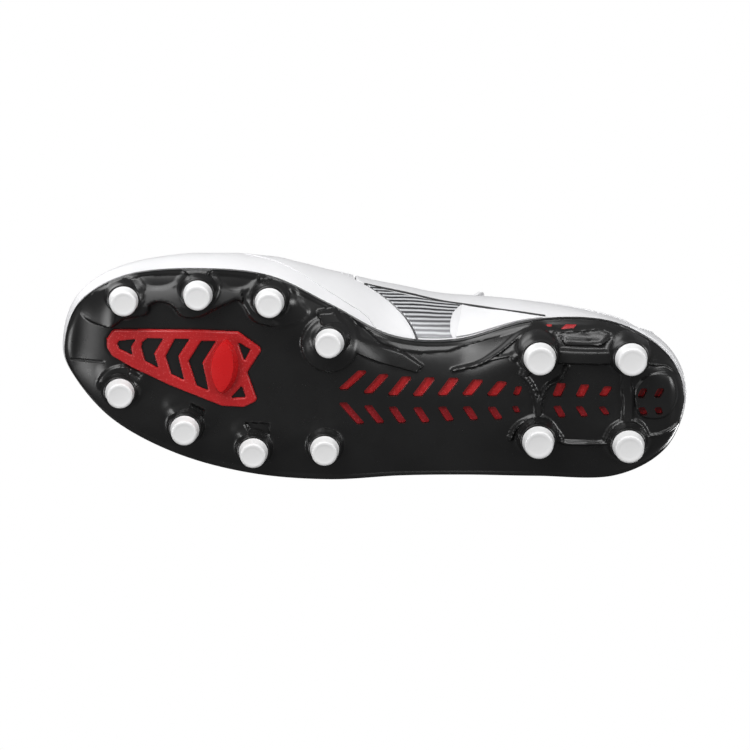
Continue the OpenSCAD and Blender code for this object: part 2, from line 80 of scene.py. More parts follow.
FEATHER = ring_of(
    [[142, 27, 22], [134, 45.4, 21], [112, 57.8, 18.5], [80, 60.8, 17], [48, 57.4, 17], [20, 43, 20],
     [-8, 26.5, 27], [-38, 23.5, 31], [-72, 33, 30], [-108, 33, 28], [-134, 19, 26], [-143, -2, 24.5]],
    [[139, 12, 20.5], [121, -9, 17.5], [92, -25, 16], [58, -34.5, 15.5], [22, -38, 16],
     [-12, -37, 18], [-42, -37, 19], [-75, -37.5, 19], [-111, -37.5, 19.5], [-135, -25, 22]])
BULGE = ring_of(
    [[149, 27, 36], [141, 51, 35], [118, 67, 33], [81, 75, 33], [45, 70, 36], [16, 60, 42],
     [-12, 52, 50], [-40, 44, 52], [-74, 41, 48], [-109, 33, 44], [-138, 20, 43], [-148, -1, 42]],
    [[147, 7, 34], [127, -15, 32], [94, -30, 32], [58, -40, 33], [20, -44, 36],
     [-14, -43, 40], [-44, -42, 42], [-77, -41, 42], [-112, -39, 42], [-139, -25, 42]])
SHOULDER = ring_of(
    [[134, 27, 50], [126, 42, 50], [106, 52, 54], [76, 52, 60], [46, 54, 68], [18, 50, 75],
     [-8, 42, 82], [-32, 35, 84], [-66, 33, 66], [-101, 29, 56], [-125, 18, 60], [-136, 0, 64]],
    [[129, 11, 49], [112, -4, 52], [84, -13, 58], [50, -20, 65], [18, -25, 71],
     [-12, -29, 76], [-36, -30, 78], [-68, -33, 60], [-104, -31, 54], [-127, -20, 58]])
TOP = ring_of(
    [[110, 26, 49], [104, 25.5, 51], [92, 24, 55], [72, 21, 61], [46, 25, 68], [20, 23, 76],
     [-4, 22, 84], [-26, 22, 91], [-60, 29, 79], [-96, 28, 69], [-123, 18, 75], [-135, 0, 84]],
    [[104, 25.5, 51], [92, 24, 55], [72, 21, 61], [46, 8, 68], [20, 2, 76],
     [-4, -3, 84], [-26, -5, 90], [-60, -22, 76], [-96, -26, 66], [-123, -18, 73]])
KEEL = np.array([19, 16.5, 13, 11.2, 11, 12, 14.5, 16, 14.5, 13, 13.5, 21])
CURL = np.array([3, 3, 5, 6, 6, 5, 3, 2.8, 5, 7, 5, 3.0])
PLATE_T, RIM_T, SEAM_GAP = 3.2, 1.8, 0.2


def rail(ring, s):
    s = np.asarray(s, float)
    i = np.floor(s).astype(int)
    f = (s - i)[..., None]
    a, b, c, d = (ring[(i + k) % RING] for k in (-1, 0, 1, 2))
    return b + 0.5 * f * ((c - a) + f * ((2 * a - 5 * b + 4 * c - d) + f * (3 * (b - c) + d - a)))


def outer_face(s, t):
    s, t = np.broadcast_arrays(np.asarray(s, float), np.asarray(t, float))
    u = t[..., None]
    return ((1 - u) ** 3 * rail(FEATHER, s) + 3 * u * (1 - u) ** 2 * rail(BULGE, s)
            + 3 * u * u * (1 - u) * rail(SHOULDER, s) + u ** 3 * rail(TOP, s))


def unit(v):
    v = np.asarray(v, float)
    return v / np.maximum(np.linalg.norm(v, axis=-1, keepdims=True), 1e-12)


def outward(s, t):
    e = 0.02
    h = np.clip(t, e, 0.94)
    return unit(np.cross(outer_face(s + e, h) - outer_face(s - e, h),
                         outer_face(s, h + e) - outer_face(s, h - e)))


def smooth(a, b, v):
    f = np.clip((np.asarray(v, float) - a) / (b - a), 0, 1)
    return f * f * (3 - 2 * f)


def along(values, s):
    i = np.clip(np.floor(s).astype(int), 0, len(values) - 2)
    f = np.clip(s - i, 0, 1)
    return values[i] + (values[i + 1] - values[i]) * f * f * (3 - 2 * f)


def sole_plan(s, u):
    m, l = rail(FEATHER, s), rail(FEATHER, -s)
    mid, half = (m + l) / 2, (m - l) / 2
    rim = np.where(u > 0, m[..., 2], l[..., 2]) - SEAM_GAP - RIM_T
    keel = along(KEEL, s)
    low = keel + (rim - keel) * np.clip(np.abs(u), 0, 1) ** along(CURL, s)
    return mid[..., 0] + half[..., 0] * u, mid[..., 1] + half[..., 1] * u, low


def plate_thickness(u):
    return PLATE_T + (RIM_T - PLATE_T) * np.clip(np.abs(u), 0, 1) ** 4


# ---------------------------------------------------------------- mesh helpers
def shade(obj, soft=True):
    obj.data.polygons.foreach_set("use_smooth", [soft] * len(obj.data.polygons))


def clean(mesh, merge=0.0, turn=True):
    """Merges vertices closer than merge, in metres, and turns the faces outward."""
    bm = bmesh.new()
    bm.from_mesh(mesh)
    if merge:
        bmesh.ops.remove_doubles(bm, verts=bm.verts, dist=merge)
    if turn:
        bmesh.ops.recalc_face_normals(bm, faces=bm.faces)
    bm.to_mesh(mesh)
    bm.free()


def new_object(name, verts, faces, material, slot=None, body=SHOE, merge=0.0):
    """A mesh object from vertices in the drawn frame, in mm."""
    verts = (np.asarray(verts, float).reshape(-1, 3) + SHIFT) * MM
    mesh = bpy.data.meshes.new(name)
    mesh.from_pydata(verts.tolist(), [], [list(map(int, f)) for f in faces])
    mesh.validate()
    obj = bpy.data.objects.new(name, mesh)
    bpy.context.scene.collection.objects.link(obj)
    if material:
        mesh.materials.append(material)
    if merge:
        clean(mesh, merge)
    shade(obj)
    if body:
        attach(obj, body)
    return obj


def grid_faces(rows, cols, base=0, flip=False, wrap=False):
    i, j = np.meshgrid(np.arange(rows - 1), np.arange(cols if wrap else cols - 1), indexing="ij")
    k = (j + 1) % cols
    quad = np.stack([i * cols + j, (i + 1) * cols + j, (i + 1) * cols + k, i * cols + k], -1)
    quad = quad.reshape(-1, 4) + base
    return (quad[:, ::-1] if flip else quad).tolist()


def border(rows, cols, base=0):
    """Indices of a grid's outermost points, in order round it."""
    edge = ([(0, j) for j in range(cols)] + [(i, cols - 1) for i in range(1, rows)]
            + [(rows - 1, j) for j in range(cols - 2, -1, -1)] + [(i, 0) for i in range(rows - 2, 0, -1)])
    return [base + i * cols + j for i, j in edge]


def closed_grid(outer, inner):
    """Vertices and faces of the solid between two equal grids of points."""
    rows, cols = outer.shape[:2]
    n = rows * cols
    faces = grid_faces(rows, cols) + grid_faces(rows, cols, n, flip=True)
    ids = border(rows, cols)
    faces += [[a, b, n + b, n + a] for a, b in zip(ids, ids[1:] + ids[:1])]
    return np.concatenate([outer.reshape(-1, 3), inner.reshape(-1, 3)]), faces


def travelled(points, axis=0):
    """Distance covered along a line of points, or along one axis of a grid of them."""
    steps = np.linalg.norm(np.diff(points, axis=axis), axis=-1)
    return np.insert(np.cumsum(steps, axis=axis), 0, 0.0, axis=axis)


def set_uv(obj, uv_by_vertex):
    layer = obj.data.uv_layers.new(name="UVMap")
    loops = np.empty(len(obj.data.loops), int)
    obj.data.loops.foreach_get("vertex_index", loops)
    layer.data.foreach_set("uv", np.asarray(uv_by_vertex, float)[loops].ravel())


def remove(obj):
    data = obj.data
    bpy.data.objects.remove(obj)
    bpy.data.meshes.remove(data)


def boolean(obj, cutters, operation="DIFFERENCE"):
    """Applies the object's modifiers, after one boolean with each closed cutter, and deletes the cutters."""
    for cutter in cutters:
        mod = obj.modifiers.new("cut", "BOOLEAN")
        mod.operation = operation
        mod.solver = "MANIFOLD"
        mod.object = cutter
    graph = bpy.context.evaluated_depsgraph_get()
    graph.update()
    mesh = bpy.data.meshes.new_from_object(obj.evaluated_get(graph), depsgraph=graph)
    obj.modifiers.clear()
    old = obj.data
    obj.data = mesh
    mesh.name = old.name
    bpy.data.meshes.remove(old)
    for cutter in cutters:
        remove(cutter)


def sharpen(obj, degrees):
    obj.data.set_sharp_from_angle(angle=math.radians(degrees))


def prism(name, outline, z0, z1):
    """A closed upright prism on a plan outline."""
    pts = np.asarray(outline, float)
    n = len(pts)
    verts = [[x, y, z] for z in (z0, z1) for x, y in pts]
    area = 0.5 * np.sum(pts[:, 0] * np.roll(pts[:, 1], -1) - np.roll(pts[:, 0], -1) * pts[:, 1])
    ring = list(range(n)) if area > 0 else list(range(n))[::-1]
    faces = [ring[::-1], [n + k for k in ring]]
    faces += [[a, b, n + b, n + a] for a, b in zip(ring, ring[1:] + ring[:1])]
    return new_object(name, verts, faces, None, body=None)


def rounded(outline, radius, steps=6):
    """The outline with each corner replaced by an arc of the given radius."""
    pts = [np.array(p, float) for p in outline]
    result = []
    for k, p in enumerate(pts):
        a, b = pts[k - 1] - p, pts[(k + 1) % len(pts)] - p
        la, lb = np.linalg.norm(a), np.linalg.norm(b)
        a, b = a / la, b / lb
        half = math.acos(np.clip(a @ b, -1, 1)) / 2
        reach = min(radius / math.tan(half), 0.45 * la, 0.45 * lb)
        r = reach * math.tan(half)
        centre = p + unit(a + b) * r / math.sin(half)
        v0, v1 = p + a * reach - centre, p + b * reach - centre
        turn = math.atan2(v0[0] * v1[1] - v0[1] * v1[0], v0 @ v1)
        for q in range(steps + 1):
            c, s_ = math.cos(turn * q / steps), math.sin(turn * q / steps)
            result.append(centre + [c * v0[0] - s_ * v0[1], s_ * v0[0] + c * v0[1]])
    return np.array(result)


def lathe(profile, centre, tilt, name, material=None, body=None, slot=None, sides=72):
    """A closed solid turned round an upright axis through centre, tilted toward the toe by degrees."""
    prof = np.asarray(profile, float)
    ang = np.linspace(0, 2 * np.pi, sides, endpoint=False)
    ring = np.stack([np.cos(ang), np.sin(ang), np.zeros(sides)], -1)
    verts = prof[:, 0, None, None] * ring[None] + prof[:, 1, None, None] * np.array([0, 0, 1.0])
    verts = verts.reshape(-1, 3)
    up = prof[-1, 1] > prof[0, 1]
    faces = grid_faces(len(prof), sides, wrap=True, flip=up)
    n = len(verts)
    low, high = list(range(sides)), list(range(n - sides, n))
    faces += [low[::-1] if up else low, high if up else high[::-1]]
    c, s = math.cos(math.radians(tilt)), math.sin(math.radians(tilt))
    turn = np.array([[c, 0, s], [0, 1, 0], [-s, 0, c]])
    return new_object(name, verts @ turn.T + np.asarray(centre, float), faces, material, slot, body)


# ---------------------------------------------------------------- materials
def feed(tree, node, values):
    """Gives a node its values by name: a socket is linked, anything else is set."""
    for key, value in values.items():
        if key not in node.inputs:
            setattr(node, key, value)
        elif isinstance(value, bpy.types.NodeSocket):
            tree.links.new(value, node.inputs[key])
        else:
            node.inputs[key].default_value = value
    return node


def add(tree, kind, **values):
    return feed(tree, tree.nodes.new(kind), values)


def node_material(name):
    mat = bpy.data.materials.new(name)
    mat.use_nodes = True
    return mat, mat.node_tree, mat.node_tree.nodes["Principled BSDF"]


def coordinate(tree, kind):
    return tree.nodes.new("ShaderNodeTexCoord").outputs[kind]


def axis_of(tree, vector, axis):
    return add(tree, "ShaderNodeSeparateXYZ", Vector=vector).outputs[axis]


def calculate(tree, operation, *inputs, clamp=False):
    """A Math node's result. Each input is a number or the socket it comes from."""
    node = add(tree, "ShaderNodeMath", operation=operation, use_clamp=clamp)
    for socket, value in zip(node.inputs, inputs):
        if isinstance(value, bpy.types.NodeSocket):
            tree.links.new(value, socket)
        else:
            socket.default_value = value
    return node.outputs[0]


def blended(tree, share, first, second):
    return add(tree, "ShaderNodeMixRGB", Fac=share, Color1=first, Color2=second).outputs["Color"]


def ramp(tree, source, stops):
    node = add(tree, "ShaderNodeValToRGB", Fac=source)
    while len(node.color_ramp.elements) < len(stops):
        node.color_ramp.elements.new(0.5)
    for element, (place, colour) in zip(node.color_ramp.elements, stops):
        element.position = place
        element.color = (*colour, 1.0)
    return node.outputs["Color"]


def grey3(v):
    return (v, v, v)


def noise(tree, vector, scale, detail=3.0, rough=0.55, output="Fac"):
    return add(tree, "ShaderNodeTexNoise", Vector=vector, Scale=scale, Detail=detail,
               Roughness=rough).outputs[output]


def bump_on(tree, bsdf, height, strength, distance, previous=None):
    bump = add(tree, "ShaderNodeBump", Strength=strength, Distance=distance, Height=height)
    if previous is not None:
        tree.links.new(previous, bump.inputs["Normal"])
    tree.links.new(bump.outputs["Normal"], bsdf.inputs["Normal"])
    return bump.outputs["Normal"]


def moulded(name, dark, light, rough_low, rough_high, grain=2600, grain_depth=0.00002, specks=None):
    """Moulded plastic: slow colour drift, fine mould grain, scuffs that change the gloss."""
    mat, tree, bsdf = node_material(name)
    coord = coordinate(tree, "Object")
    colour = ramp(tree, noise(tree, coord, 38.0, 4.0), [(0.35, dark), (0.7, light)])
    if specks:
        mask = ramp(tree, noise(tree, coord, 1500.0, 1.0), [(0.6, grey3(0)), (0.72, grey3(1))])
        colour = blended(tree, mask, colour, (*specks, 1))
    scuff = noise(tree, coord, 120.0, 6.0, 0.7)
    gloss = ramp(tree, scuff, [(0.3, grey3(rough_low)), (0.75, grey3(rough_high))])
    feed(tree, bsdf, {"Base Color": colour, "Roughness": gloss})
    bump_on(tree, bsdf, noise(tree, coord, grain, 2.0), 0.35, grain_depth)
    return mat


def leather(name, dark, light, rough=0.42, grain=1.0):
    """Coated leather: creases that change the gloss and fine pores of grain times the plain scale."""
    mat, tree, bsdf = node_material(name)
    coord = coordinate(tree, "Object")
    colour = ramp(tree, noise(tree, coord, 26.0, 5.0), [(0.3, dark), (0.7, light)])
    warped = blended(tree, 0.0025, coord, noise(tree, coord, 420.0, 2.0, output="Color"))
    cells = add(tree, "ShaderNodeTexVoronoi", feature="DISTANCE_TO_EDGE", Vector=warped,
                Scale=1100.0 * grain)
    pores = ramp(tree, cells.outputs["Distance"], [(0.0, grey3(0)), (0.16, grey3(1))])
    creases = noise(tree, coord, 90.0, 5.0, 0.65)
    gloss = ramp(tree, creases, [(0.3, grey3(rough - 0.06)), (0.7, grey3(rough + 0.1))])
    feed(tree, bsdf, {"Base Color": colour, "Roughness": gloss, "Coat Weight": 0.12, "Coat Roughness": 0.3})
    bump_on(tree, bsdf, pores, 0.35, 0.00005, bump_on(tree, bsdf, creases, 0.3, 0.0002))
    return mat


def woven(name, dark, light, pitch_mm, rough=0.85, depth=0.00016, slant=0.0, sheen=0.25):
    """A plain weave or knit on the piece's UV map, which is in millimetres."""
    mat, tree, bsdf = node_material(name)
    uv = coordinate(tree, "UV")
    x, y = (axis_of(tree, uv, axis) for axis in "XY")
    per_mm = 2 * math.pi / pitch_mm
    slanted = calculate(tree, "MULTIPLY_ADD", y, slant, calculate(tree, "MULTIPLY", x, per_mm))
    across = calculate(tree, "SINE", slanted)
    down = calculate(tree, "SINE", calculate(tree, "MULTIPLY", y, per_mm))
    height = calculate(tree, "MULTIPLY_ADD", calculate(tree, "MULTIPLY", across, down), 0.5, 0.5)
    both = blended(tree, 0.3, height, noise(tree, coordinate(tree, "Object"), 900.0, 3.0))
    colour = ramp(tree, both, [(0.25, dark), (0.7, light)])
    feed(tree, bsdf, {"Base Color": colour, "Roughness": rough, "Sheen Weight": sheen})
    bump_on(tree, bsdf, both, 0.6, depth)
    return mat


FILM_PITCH = 2.7


def striped_film():
    """Printed film on the midfoot: generic level bands whose contrast grows upward."""
    mat, tree, bsdf = node_material("striped_film")
    level = axis_of(tree, coordinate(tree, "UV"), "Y")
    coord = coordinate(tree, "Object")
    moved = calculate(tree, "MULTIPLY_ADD", noise(tree, coord, 60.0, 3.0), 1.6, level)
    wave = calculate(tree, "SINE", calculate(tree, "MULTIPLY", moved, 2 * math.pi / FILM_PITCH))
    contrast = add(tree, "ShaderNodeMapRange", **{"Value": level, "From Min": 3.0, "From Max": 20.0,
                                                  "To Min": 0.12, "To Max": 0.55}).outputs["Result"]
    colour = ramp(tree, calculate(tree, "MULTIPLY_ADD", wave, contrast, 0.5),
                  [(0.05, (0.02, 0.02, 0.022)), (0.42, (0.17, 0.17, 0.18)),
                   (0.6, (0.36, 0.37, 0.38)), (0.92, (0.72, 0.73, 0.75))])
    feed(tree, bsdf, {"Base Color": colour, "Metallic": 0.35, "Roughness": 0.34})
    bump_on(tree, bsdf, noise(tree, coord, 1800.0, 2.0), 0.25, 0.00003)
    return mat


SOLE_BLACK = moulded("sole_black", grey3(0.008), grey3(0.011), 0.26, 0.33, 2200, 0.000012)
SOLE_RED = moulded("sole_red", (0.36, 0.008, 0.010), (0.45, 0.012, 0.014), 0.32, 0.46,
                   1900, 0.00004, specks=(0.55, 0.06, 0.06))
SHANK_RED = moulded("shank_red", (0.26, 0.005, 0.008), (0.36, 0.008, 0.012), 0.4, 0.6,
                    1500, 0.00005, specks=(0.5, 0.05, 0.07))
SEAM_DARK = moulded("seam_dark", grey3(0.02), grey3(0.05), 0.4, 0.6, 1800, 0.00005)
BLADE_RED = moulded("blade_red", (0.52, 0.008, 0.010), (0.56, 0.012, 0.013), 0.22, 0.32, 2400, 0.00002)
STUD_WHITE = moulded("stud_white", grey3(0.72), grey3(0.78), 0.34, 0.46, 2400, 0.00002)
LEATHER = leather("white_leather", (0.66, 0.66, 0.67), (0.72, 0.72, 0.73))
LEATHER_TRIM = leather("white_leather_trim", (0.69, 0.69, 0.70), (0.75, 0.75, 0.76), 0.36, 1.3)
FILM = striped_film()
LINING = woven("lining_knit", (0.20, 0.20, 0.21), (0.42, 0.42, 0.44), 1.1)
SOCKLINER = woven("sockliner_knit", (0.035, 0.035, 0.04), (0.11, 0.11, 0.12), 1.4)
LACE = woven("lace_weave", (0.62, 0.62, 0.63), (0.86, 0.86, 0.87), 0.9, 0.8, 0.0002, 2.0)
THREAD = woven("stitch_thread", (0.60, 0.60, 0.61), (0.82, 0.82, 0.83), 0.5, 0.7, 0.0001, 3.0)
BOARD = moulded("fibre_board", (0.42, 0.32, 0.2), (0.55, 0.43, 0.28), 0.8, 0.95, 900, 0.0001)
FOAM = moulded("collar_foam", grey3(0.5), grey3(0.62), 0.85, 0.98, 700, 0.0003)


# ---------------------------------------------------------------- relief of the plate's lower face
def curve(points, steps=8, closed=True):
    """A smooth line through the given points."""
    pts = np.asarray(points, float)
    n = len(pts)
    result = []
    for i in range(n if closed else n - 1):
        near = [(i + k) % n if closed else min(max(i + k, 0), n - 1) for k in (-1, 0, 1, 2)]
        a, b, c, d = pts[near]
        for f in np.arange(steps) / steps:
            result.append(b + 0.5 * f * ((c - a) + f * ((2 * a - 5 * b + 4 * c - d)
                                                        + f * (3 * (b - c) + d - a))))
    if not closed:
        result.append(pts[-1])
    return np.array(result)


def nearest(x, y, points, closed=False):
    """Distance from each place to a line through the points."""
    pts = np.asarray(points, float)
    if closed:
        pts = np.vstack([pts, pts[:1]])
    best = np.full(np.shape(x), 1e9)
    for a, b in zip(pts[:-1], pts[1:]):
        d = b - a
        f = np.clip(((x - a[0]) * d[0] + (y - a[1]) * d[1]) / max(d @ d, 1e-9), 0, 1)
        best = np.minimum(best, np.hypot(x - a[0] - f * d[0], y - a[1] - f * d[1]))
    return best


def depth_in(x, y, outline):
    """Distance to an outline, positive inside it."""
    pts = np.asarray(outline, float)
    within = np.zeros(np.shape(x), bool)
    for a, b in zip(pts, np.roll(pts, -1, axis=0)):
        if a[1] == b[1]:
            continue
        crosses = (a[1] > y) != (b[1] > y)
        within ^= crosses & (x < a[0] + (y - a[1]) * (b[0] - a[0]) / (b[1] - a[1]))
    return nearest(x, y, pts, True) * np.where(within, 1.0, -1.0)


def land(x, y, outline, wall):
    """1 on the land inside an outline, 0 outside it, with a slope of the given width between."""
    return smooth(-wall / 2, wall / 2, depth_in(x, y, outline))


def ridge(x, y, points, width, flat=0.0):
    """A rounded ridge along a line: 1 on its crest, 0 at half its width."""
    return 1 - smooth(flat * width / 2, width / 2, nearest(x, y, points))


# Studs: the middle of the tip in plan, its height over the lowest ones and its tilt in degrees.
MEDIAL_STUDS = [(112.9, 48.8, 2, 5), (79.7, 52.1, 0, 0), (47.5, 48.6, 0, 0), (21.2, 29.2, 1.5, -6)]
LATERAL_STUDS = [(115.9, 5.2, 2, 5), (87, -11.9, 0, 0), (55.8, -22.8, 0, 0), (23.1, -21.7, 0, 0)]
HEEL_STUDS = [(-74.7, 22.3, 0, 0), (-116.2, 22, 0, 0), (-74.8, -17.7, 0, 0), (-116.2, -19.7, 0, 0)]
FOREFOOT_D, HEEL_D, TIP_H, DRAFT = 11.0, 12.4, 6.0, 1.15

INSERT = [(122, 29), (119, 33.5), (82, 34), (62, 33), (51.5, 25), (58.5, 14), (54, 0.5),
          (60, -2.5), (70, -2), (94, 8), (111, 16), (120, 21.5), (122, 25)]
INSERT_WINDOWS = [
    [(117.5, 27), (116.5, 28.5), (108.5, 29.5), (111, 25.5), (110.5, 21.5), (116.5, 24.5)],
    [(106.5, 25.5), (106, 28), (103.5, 30), (96, 30), (100.5, 22.5), (98.5, 15.5), (105, 19)],
    [(95.5, 21.5), (91, 30), (84, 30), (89.5, 21.5), (87, 10), (93, 13)],
    [(85, 19.5), (79, 29), (72, 29), (78.5, 18.5), (76, 5), (81.5, 7.5)],
    [(62.5, 28.7), (56.5, 25), (59.5, 19)], [(66.5, 1.5), (60.8, 7.8), (59, 2)]]

# Outlines of the moulded relief, in mm, drawn frame.
MEDIAL_LAND = [(119.5, 36), (113.5, 39.5), (104, 41.2), (101.5, 46), (96.5, 47.3), (91.5, 45.5), (87.5, 41),
               (80, 40.5), (72, 44.5), (66, 47), (61, 48), (56, 40), (49.5, 36.5), (39.5, 36), (33.5, 38),
               (30, 42), (33.5, 46.5), (36.5, 53), (45.5, 57.5), (53, 57), (58, 54), (64, 53), (70, 56),
               (73, 60), (79.5, 62), (87.5, 59), (90.5, 55.5), (96.5, 53.5), (103.5, 54), (108.5, 58),
               (118, 55), (121, 46)]
TOE_RAMP = [(134, 41), (133.5, 45), (129, 49.5), (123.5, 52.5), (118.5, 55), (117, 50), (117, 42),
            (119, 35.5), (126, 36), (131.5, 38)]
BUTTRESSES = [[(86.5, 62), (74, 62), (75.5, 57), (78.5, 55), (82.5, 57)],
              [(52.5, 59), (46.5, 59), (46.5, 55), (50, 52), (52.5, 55)],
              [(26, 42), (18, 42), (13, 35), (15.5, 31), (21, 33), (24.5, 36)]]
ARCH_FACET = [(15, 34), (5, 27.5), (-3, 24), (-13.5, 20.3), (-22, 14.6), (-19, 12), (-11.5, 14.3),
              (-2.5, 17), (5, 20.5), (14, 26)]
ARCH_RECESS = [(-13, 19.6), (-21, 18.6), (-33.5, 18.8), (-49.5, 23.6), (-62, 28), (-56.5, 21.2),
               (-47.5, 16), (-36, 13.2), (-22, 12.8)]
ARCH_BAND = [(10, 37), (-2.5, 25.3), (-11.5, 21.2), (-21, 19.6), (-33.5, 19.6), (-49.5, 24.4), (-62.5, 29),
             (-72, 31.5), (-72, 42), (-30, 34), (0, 45)]
ARCH_RIDGES = [  # line, width, flat share of the crest, height
    ([(-36, 12.5), (-47.5, 15.5), (-56.5, 21), (-63, 26), (-68, 29.5), (-72, 31), (-82, 30.8)],
     2.6, 0.1, 1.7),
    ([(-44.5, 14.3), (-54.5, 18.2), (-63, 20.5)], 2.2, 0.1, 1.2)]
OCTAGON = [(-89, 17), (-103, 17), (-113, 7.5), (-113.6, -1.5), (-113, -10), (-110, -15), (-105, -19.6),
           (-90, -19.6), (-84, -15.5), (-78, -8.5), (-77.2, -1), (-78.5, 4.5), (-84.5, 9.5)]
POCKET = [(-83.5, 30.3), (-87.5, 26), (-103, 26), (-109.5, 30), (-102.5, 32)]
HEEL_PATCH = [(-119, 3.5), (-122, 9.5), (-127.5, 12.5), (-135, 12), (-138, 7), (-138.5, -0.5),
              (-134, -7.5), (-127, -9), (-121, -6)]
HEEL_RIDGES = [  # as above
    ([(-74.7, 22.3), (-84, 20.8), (-91, 20.4), (-103, 20.4), (-108, 20.8), (-116, 22)], 8.0, 0.55, 2.4),
    ([(-67.5, 11.5), (-71.5, 7), (-74.5, -2), (-74.8, -15)], 3.6, 0.1, 1.9),
    ([(-87.5, 15.5), (-84.5, 10), (-79, 6.2), (-76, -1), (-75.4, -15)], 3.4, 0.1, 1.9),
    ([(-74.5, 24), (-69, 13)], 6.0, 0.3, 2.0),
    ([(-76.5, -14), (-85, -19.5), (-89, -21), (-105, -20.7), (-109, -19), (-115, -17)], 3.2, 0.1, 2.1),
    ([(-115.5, 23), (-115, 9.5), (-116, -0.5), (-116, -16)], 6.2, 0.55, 1.8),
    ([(-120, 19), (-127, 17), (-133.5, 16), (-137.5, 13), (-140.5, 10)], 2.6, 0.1, 1.3),
    ([(-120, -18.6), (-125.5, -17.5), (-132, -16.5), (-138, -13.5), (-140.5, -12)], 2.6, 0.1, 1.4),
    ([(-62.5, -19.5), (-64.5, -14.5), (-69, -10.5), (-77, -9.8), (-83, -15), (-86, -19)], 3.4, 0.1, 2.0),
    ([(-106, -19.5), (-109.5, -12.8), (-116, -9.8), (-122, -11.5), (-125.5, -17.5)], 3.2, 0.1, 1.9)]
FAIRINGS = [  # from a stud's middle to the fairing's tip, width, height
    ((87, -11.9), (92, -2), 9.0, 3.2), ((55.8, -22.8), (61.5, -13.5), 8.0, 3.2),
    ((23.1, -21.7), (26, -14.5), 8.0, 1.6), ((115.9, 5.2), (121, 13), 10.0, 2.6),
    ((79.7, 52.1), (88, 50), 9.0, 3.4), ((47.5, 48.6), (56, 48.5), 9.0, 4.0),
    ((47.5, 48.6), (38, 46.5), 9.0, 4.0), ((112.9, 48.8), (104, 49), 9.0, 3.4)]
NOTCHES = [  # dark facets behind the lateral studs: outline, depth
    ([(84, -1.5), (78.5, -4.5), (80, -10), (85, -5.5)], 1.6),
    ([(60, -10.5), (48.5, -11), (49, -16), (57, -16)], 1.8),
    ([(112, 16.5), (106.5, 13), (108, 10), (112, 13)], 1.2)]
INSERT_EDGE = rounded(INSERT, 1.8)
POCKET_LEVEL = -1.2
MIN_PLATE_T = 1.75


def closing(outline):
    return np.vstack([outline, outline[:1]])


def relief(x, y, rim):
    """How far the plate's lower face stands toward the ground, in mm."""
    slope = np.clip(3.3 - 0.3 * (y - 45 + 0.012 * (x - 80) ** 2 * (x < 60)), 0.7, 3.3)
    r = slope * land(x, y, curve(MEDIAL_LAND, 5), 1.8)
    for outline in BUTTRESSES:
        r = np.maximum(r, 3.4 * land(x, y, outline, 1.6))
    ramp_up = 3.4 * smooth(134, 118, x) + 0.3
    r = np.maximum(r, ramp_up * land(x, y, curve(TOE_RAMP, 5), 1.4))
    for a, b, width, height in FAIRINGS:
        away = np.clip(np.hypot(x - a[0], y - a[1]) / 11, 0, 1)
        r = np.maximum(r, height * (1.25 - away) * ridge(x, y, [a, b], width * 1.5, 0.1))
    for studs, height, inner, outer in ((MEDIAL_STUDS, 4.2, 5.5, 11.5), (LATERAL_STUDS, 3.0, 5.5, 9.5),
                                        (HEEL_STUDS, 4.0, 6.5, 11.5)):
        for x0, y0, _, _ in studs:
            r = np.maximum(r, height * (1 - smooth(inner, outer, np.hypot(x - x0, y - y0))))
    skirt = np.hypot(x - 20.4, y - 27.2)
    r = np.maximum(r, 1.5 * (1 - smooth(12.6, 13.8, skirt)) + 1.6 * (1 - smooth(7, 13, skirt)))
    crescent = np.hypot(x - 115.9, y - 5.2)
    r = np.maximum(r, 1.6 * (1 - smooth(10.8, 12.0, crescent)) * smooth(4, 9, y) * smooth(105, 110, x))
    r = np.maximum(r, 1.7 * land(x, y, ARCH_FACET, 1.0))
    r = np.maximum(r, 1.0 * land(x, y, ARCH_BAND, 1.4))
    r = r - 1.7 * land(x, y, ARCH_RECESS, 1.8) * (r < 0.6)
    r = r - 0.7 * land(x, y, OCTAGON, 1.6)
    for line, width, flat, height in HEEL_RIDGES + ARCH_RIDGES:
        r = np.maximum(r, height * ridge(x, y, curve(line, 6, False), width, flat))
    r = np.maximum(r, 1.6 * (1 - smooth(0.8, 2.8, np.hypot(x + 63.8, y - 19.8))))
    r = r + (POCKET_LEVEL - r) * land(x, y, POCKET, 1.8)
    r = np.maximum(r, 1.1 * ridge(x, y, closing(POCKET), 2.2, 0.1))
    r = np.maximum(r, 0.5 * ridge(x, y, [(-88, 29), (-97, 28.5)], 4.0, 0.2))
    r = np.maximum(r, 1.1 * land(x, y, curve(HEEL_PATCH, 5), 1.4))
    for outline, depth in NOTCHES:
        r = r - depth * land(x, y, outline, 1.2) * (1 - smooth(2.4, 3.0, r))
    r = r - 0.35 * ridge(x, y, [(139, 18.2), (124, 18.2)], 1.4)
    r = r - 0.4 * ridge(x, y, closing(INSERT_EDGE), 2.2)
    r = r * (1 - smooth(0.5, 1.5, depth_in(x, y, INSERT_EDGE)))
    return r + 0.55 * smooth(0.962, 0.984, rim)


def sole_surface(s, u):
    """The plate's lower face with its relief, never thinner than MIN_PLATE_T."""
    x, y, z = sole_plan(s, u)
    lift = np.maximum(relief(x, y, np.abs(u)), MIN_PLATE_T - plate_thickness(u))
    return np.stack([x, y, z - lift], -1)


def inner_sole_surface(s, u, layers_above=0.0):
    """The plate's upper face, or a face that lies layers_above mm over it."""
    x, y, z = sole_plan(s, u)
    return np.stack([x, y, z + plate_thickness(u) + layers_above], -1)


def station_grid(s0, s1, rows, u0, u1, cols):
    return np.meshgrid(np.linspace(s0, s1, rows), np.linspace(u0, u1, cols), indexing="ij")


PLATE_ROWS, PLATE_COLS = 96, 28


def plate_grid(step):
    """The whole plate's grid of stations, each cell split into step parts each way."""
    return station_grid(0.1, 10.9, PLATE_ROWS * step + 1, -1.02, 1.02, PLATE_COLS * step + 1)


